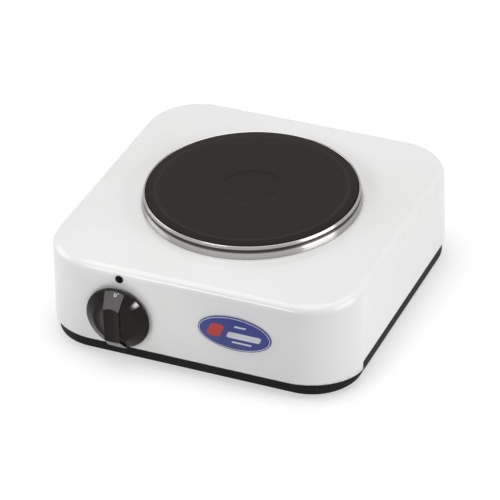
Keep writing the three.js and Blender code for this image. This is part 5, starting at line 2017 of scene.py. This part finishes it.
# ------------------------------------------------ studio


@dataclass(frozen=True)
class Lamp:
    """A rectangular soft light that faces a point."""

    name: str
    place: tuple[float, float, float]
    size: Flat
    radiance: float
    aim: tuple[float, float, float] = (0.0, 0.0, 0.05)
    spin: float = 0.0
    spread: float = 180.0

    def build(self) -> None:
        """Adds the light. Its power follows from its size, spread and brightness."""
        light = bpy.data.lights.new(self.name, "AREA")
        light.shape = "RECTANGLE"
        light.size, light.size_y = self.size
        light.energy = self.radiance * math.pi * self.size[0] * self.size[1]
        if self.spread < 180.0:
            half = math.radians(self.spread / 2)
            light.spread = 2 * half
            light.energy *= (math.tan(half) - half) / math.tan(half)
        lamp = bpy.data.objects.new(self.name, light)
        lamp.location = self.place
        facing = (Vector(self.aim) - Vector(self.place)).to_track_quat("-Z", "Y")
        lamp.rotation_euler = (facing @ Quaternion((0, 0, 1), math.radians(self.spin))).to_euler()
        bpy.context.scene.collection.objects.link(lamp)


@dataclass
class Studio:
    """Camera, floor, world and lights."""

    azimuth: float = 24.16
    elevation: float = 33.47
    roll: float = -1.88
    distance: float = 2.27545
    target: Vector = field(default_factory=lambda: Vector((2.31, -4.30, 40.92)) * MM)
    lens: float = 223.76
    sensor: float = 36.0
    ambient: float = 0.1
    floor_size: float = 6.0
    floor_depth: float = 0.02
    floor_shade: float = 0.62
    floor_glow: float = 0.52
    floor_bounce: float = 0.82
    floor_fade: Flat = (0.4, 1.1)
    lamps: tuple[Lamp, ...] = (
        Lamp("overhead", (0.0, 0.1, 1.25), (1.4, 1.4), 1.7),
        Lamp("right", (1.3, 0.0, 0.5), (0.9, 0.9), 3.4),
        Lamp("left", (-1.25, -0.15, 0.6), (0.9, 0.9), 2.2),
        Lamp("bank", (-0.36, -1.23, 0.79), (0.58, 0.3), 7.7, aim=(-0.05, -0.12, 0.05)),
        Lamp(
            "window",
            (0.134, -0.53, 0.143),
            (0.094, 0.032),
            62.0,
            aim=(-0.037, -0.1225, 0.0557),
            spin=-48.0,
            spread=15.0,
        ),
    )

    def camera(self) -> None:
        """Adds the camera."""
        angles = (self.azimuth, self.elevation, self.roll)
        turn, rise, roll = (math.radians(angle) for angle in angles)
        level = math.cos(rise)
        back = Vector((math.sin(turn) * level, -math.cos(turn) * level, math.sin(rise)))
        right = Vector((math.cos(turn), math.sin(turn), 0))
        up = back.cross(right)
        right, up = (
            math.cos(roll) * right + math.sin(roll) * up,
            math.cos(roll) * up - math.sin(roll) * right,
        )
        data = bpy.data.cameras.new("camera")
        data.sensor_width, data.lens = self.sensor, self.lens
        data.clip_start, data.clip_end = 0.05, 50
        camera = bpy.data.objects.new("camera", data)
        axes = Matrix((right, up, back)).transposed().to_4x4()
        camera.matrix_world = Matrix.Translation(self.target + back * self.distance) @ axes
        bpy.context.scene.collection.objects.link(camera)
        bpy.context.scene.camera = camera

    def seen(self, graph: Graph) -> Wire:
        """1 for rays from the camera, gloss and glass, and 0 for the light on surfaces."""
        path = graph.node("ShaderNodeLightPath")
        return path.high(path.port("Is Glossy Ray")).high(path.port("Is Transmission Ray"))

    def world(self) -> None:
        """Makes the white surroundings, which light the object less than they show."""
        world = bpy.data.worlds.new("world")
        world.use_nodes = True
        bpy.context.scene.world = world
        graph = Graph(world.node_tree)
        lit = graph.node("ShaderNodeBackground", None, {"Color": grey(self.ambient)})
        shown = graph.node("ShaderNodeBackground", None, {"Color": grey(1.0)})
        both = graph.node("ShaderNodeMixShader", None, {0: self.seen(graph), 1: lit, 2: shown})
        graph.node("ShaderNodeOutputWorld", None, {"Surface": both})

    def floor(self) -> None:
        """Makes the pale floor, which keeps the object's shadow."""
        half = self.floor_size / 2
        outline = [(-half, -half), (half, -half), (half, half), (-half, half)]
        floor = Form.pulled(outline, -self.floor_depth, 0.0).piece("floor")
        made = bpy.data.materials.new("floor")
        made.use_nodes = True
        graph = Graph(made.node_tree)
        plain = graph.node("ShaderNodeBsdfDiffuse", None, {"Color": grey(self.floor_shade)})
        glow = graph.node("ShaderNodeEmission", None, {"Color": grey(self.floor_glow)})
        bright = graph.node("ShaderNodeAddShader", None, {0: plain, 1: glow})
        white = graph.node("ShaderNodeEmission", None, {"Color": grey(1.0)})
        far = graph.length(graph.place()).ramp(*self.floor_fade)
        shown = graph.node("ShaderNodeMixShader", None, {0: far, 1: bright, 2: white})
        bounce = graph.node("ShaderNodeBsdfDiffuse", None, {"Color": grey(self.floor_bounce)})
        both = graph.node("ShaderNodeMixShader", None, {0: self.seen(graph), 1: bounce, 2: shown})
        graph.node("ShaderNodeOutputMaterial", None, {"Surface": both})
        floor.data.materials.append(made)

    def build(self) -> None:
        """Sets everything up."""
        self.camera()
        self.world()
        self.floor()
        for lamp in self.lamps:
            lamp.build()
        bpy.context.scene.view_settings.view_transform = "Standard"


def main() -> None:
    """Builds the hot plate's looks and the studio."""
    logging.basicConfig(level=logging.INFO, format="%(name)s: %(message)s")
    plate = middle_of("cooking_plate")
    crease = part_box("cooking_plate")[1].z - SpillRing.crest_drop - SpillRing.crease
    paints = Paints(Vector((plate.x, plate.y, 0.0)), crease, Housing.front_edge)
    Housing(paints).build()
    Base(paints).build()
    Feet(paints).build()
    CookingPlate(paints).build()
    SpillRing(paints).build()
    knob = Knob(paints)
    knob.build()
    KnobMarks(paints, knob).build()
    PilotLens(paints).build()
    Badge(paints).build()
    CordInlet(paints).build()
    Screws(paints).build()
    Inside(paints).build()
    Studio().build()


if __name__ == "__main__":
    main()
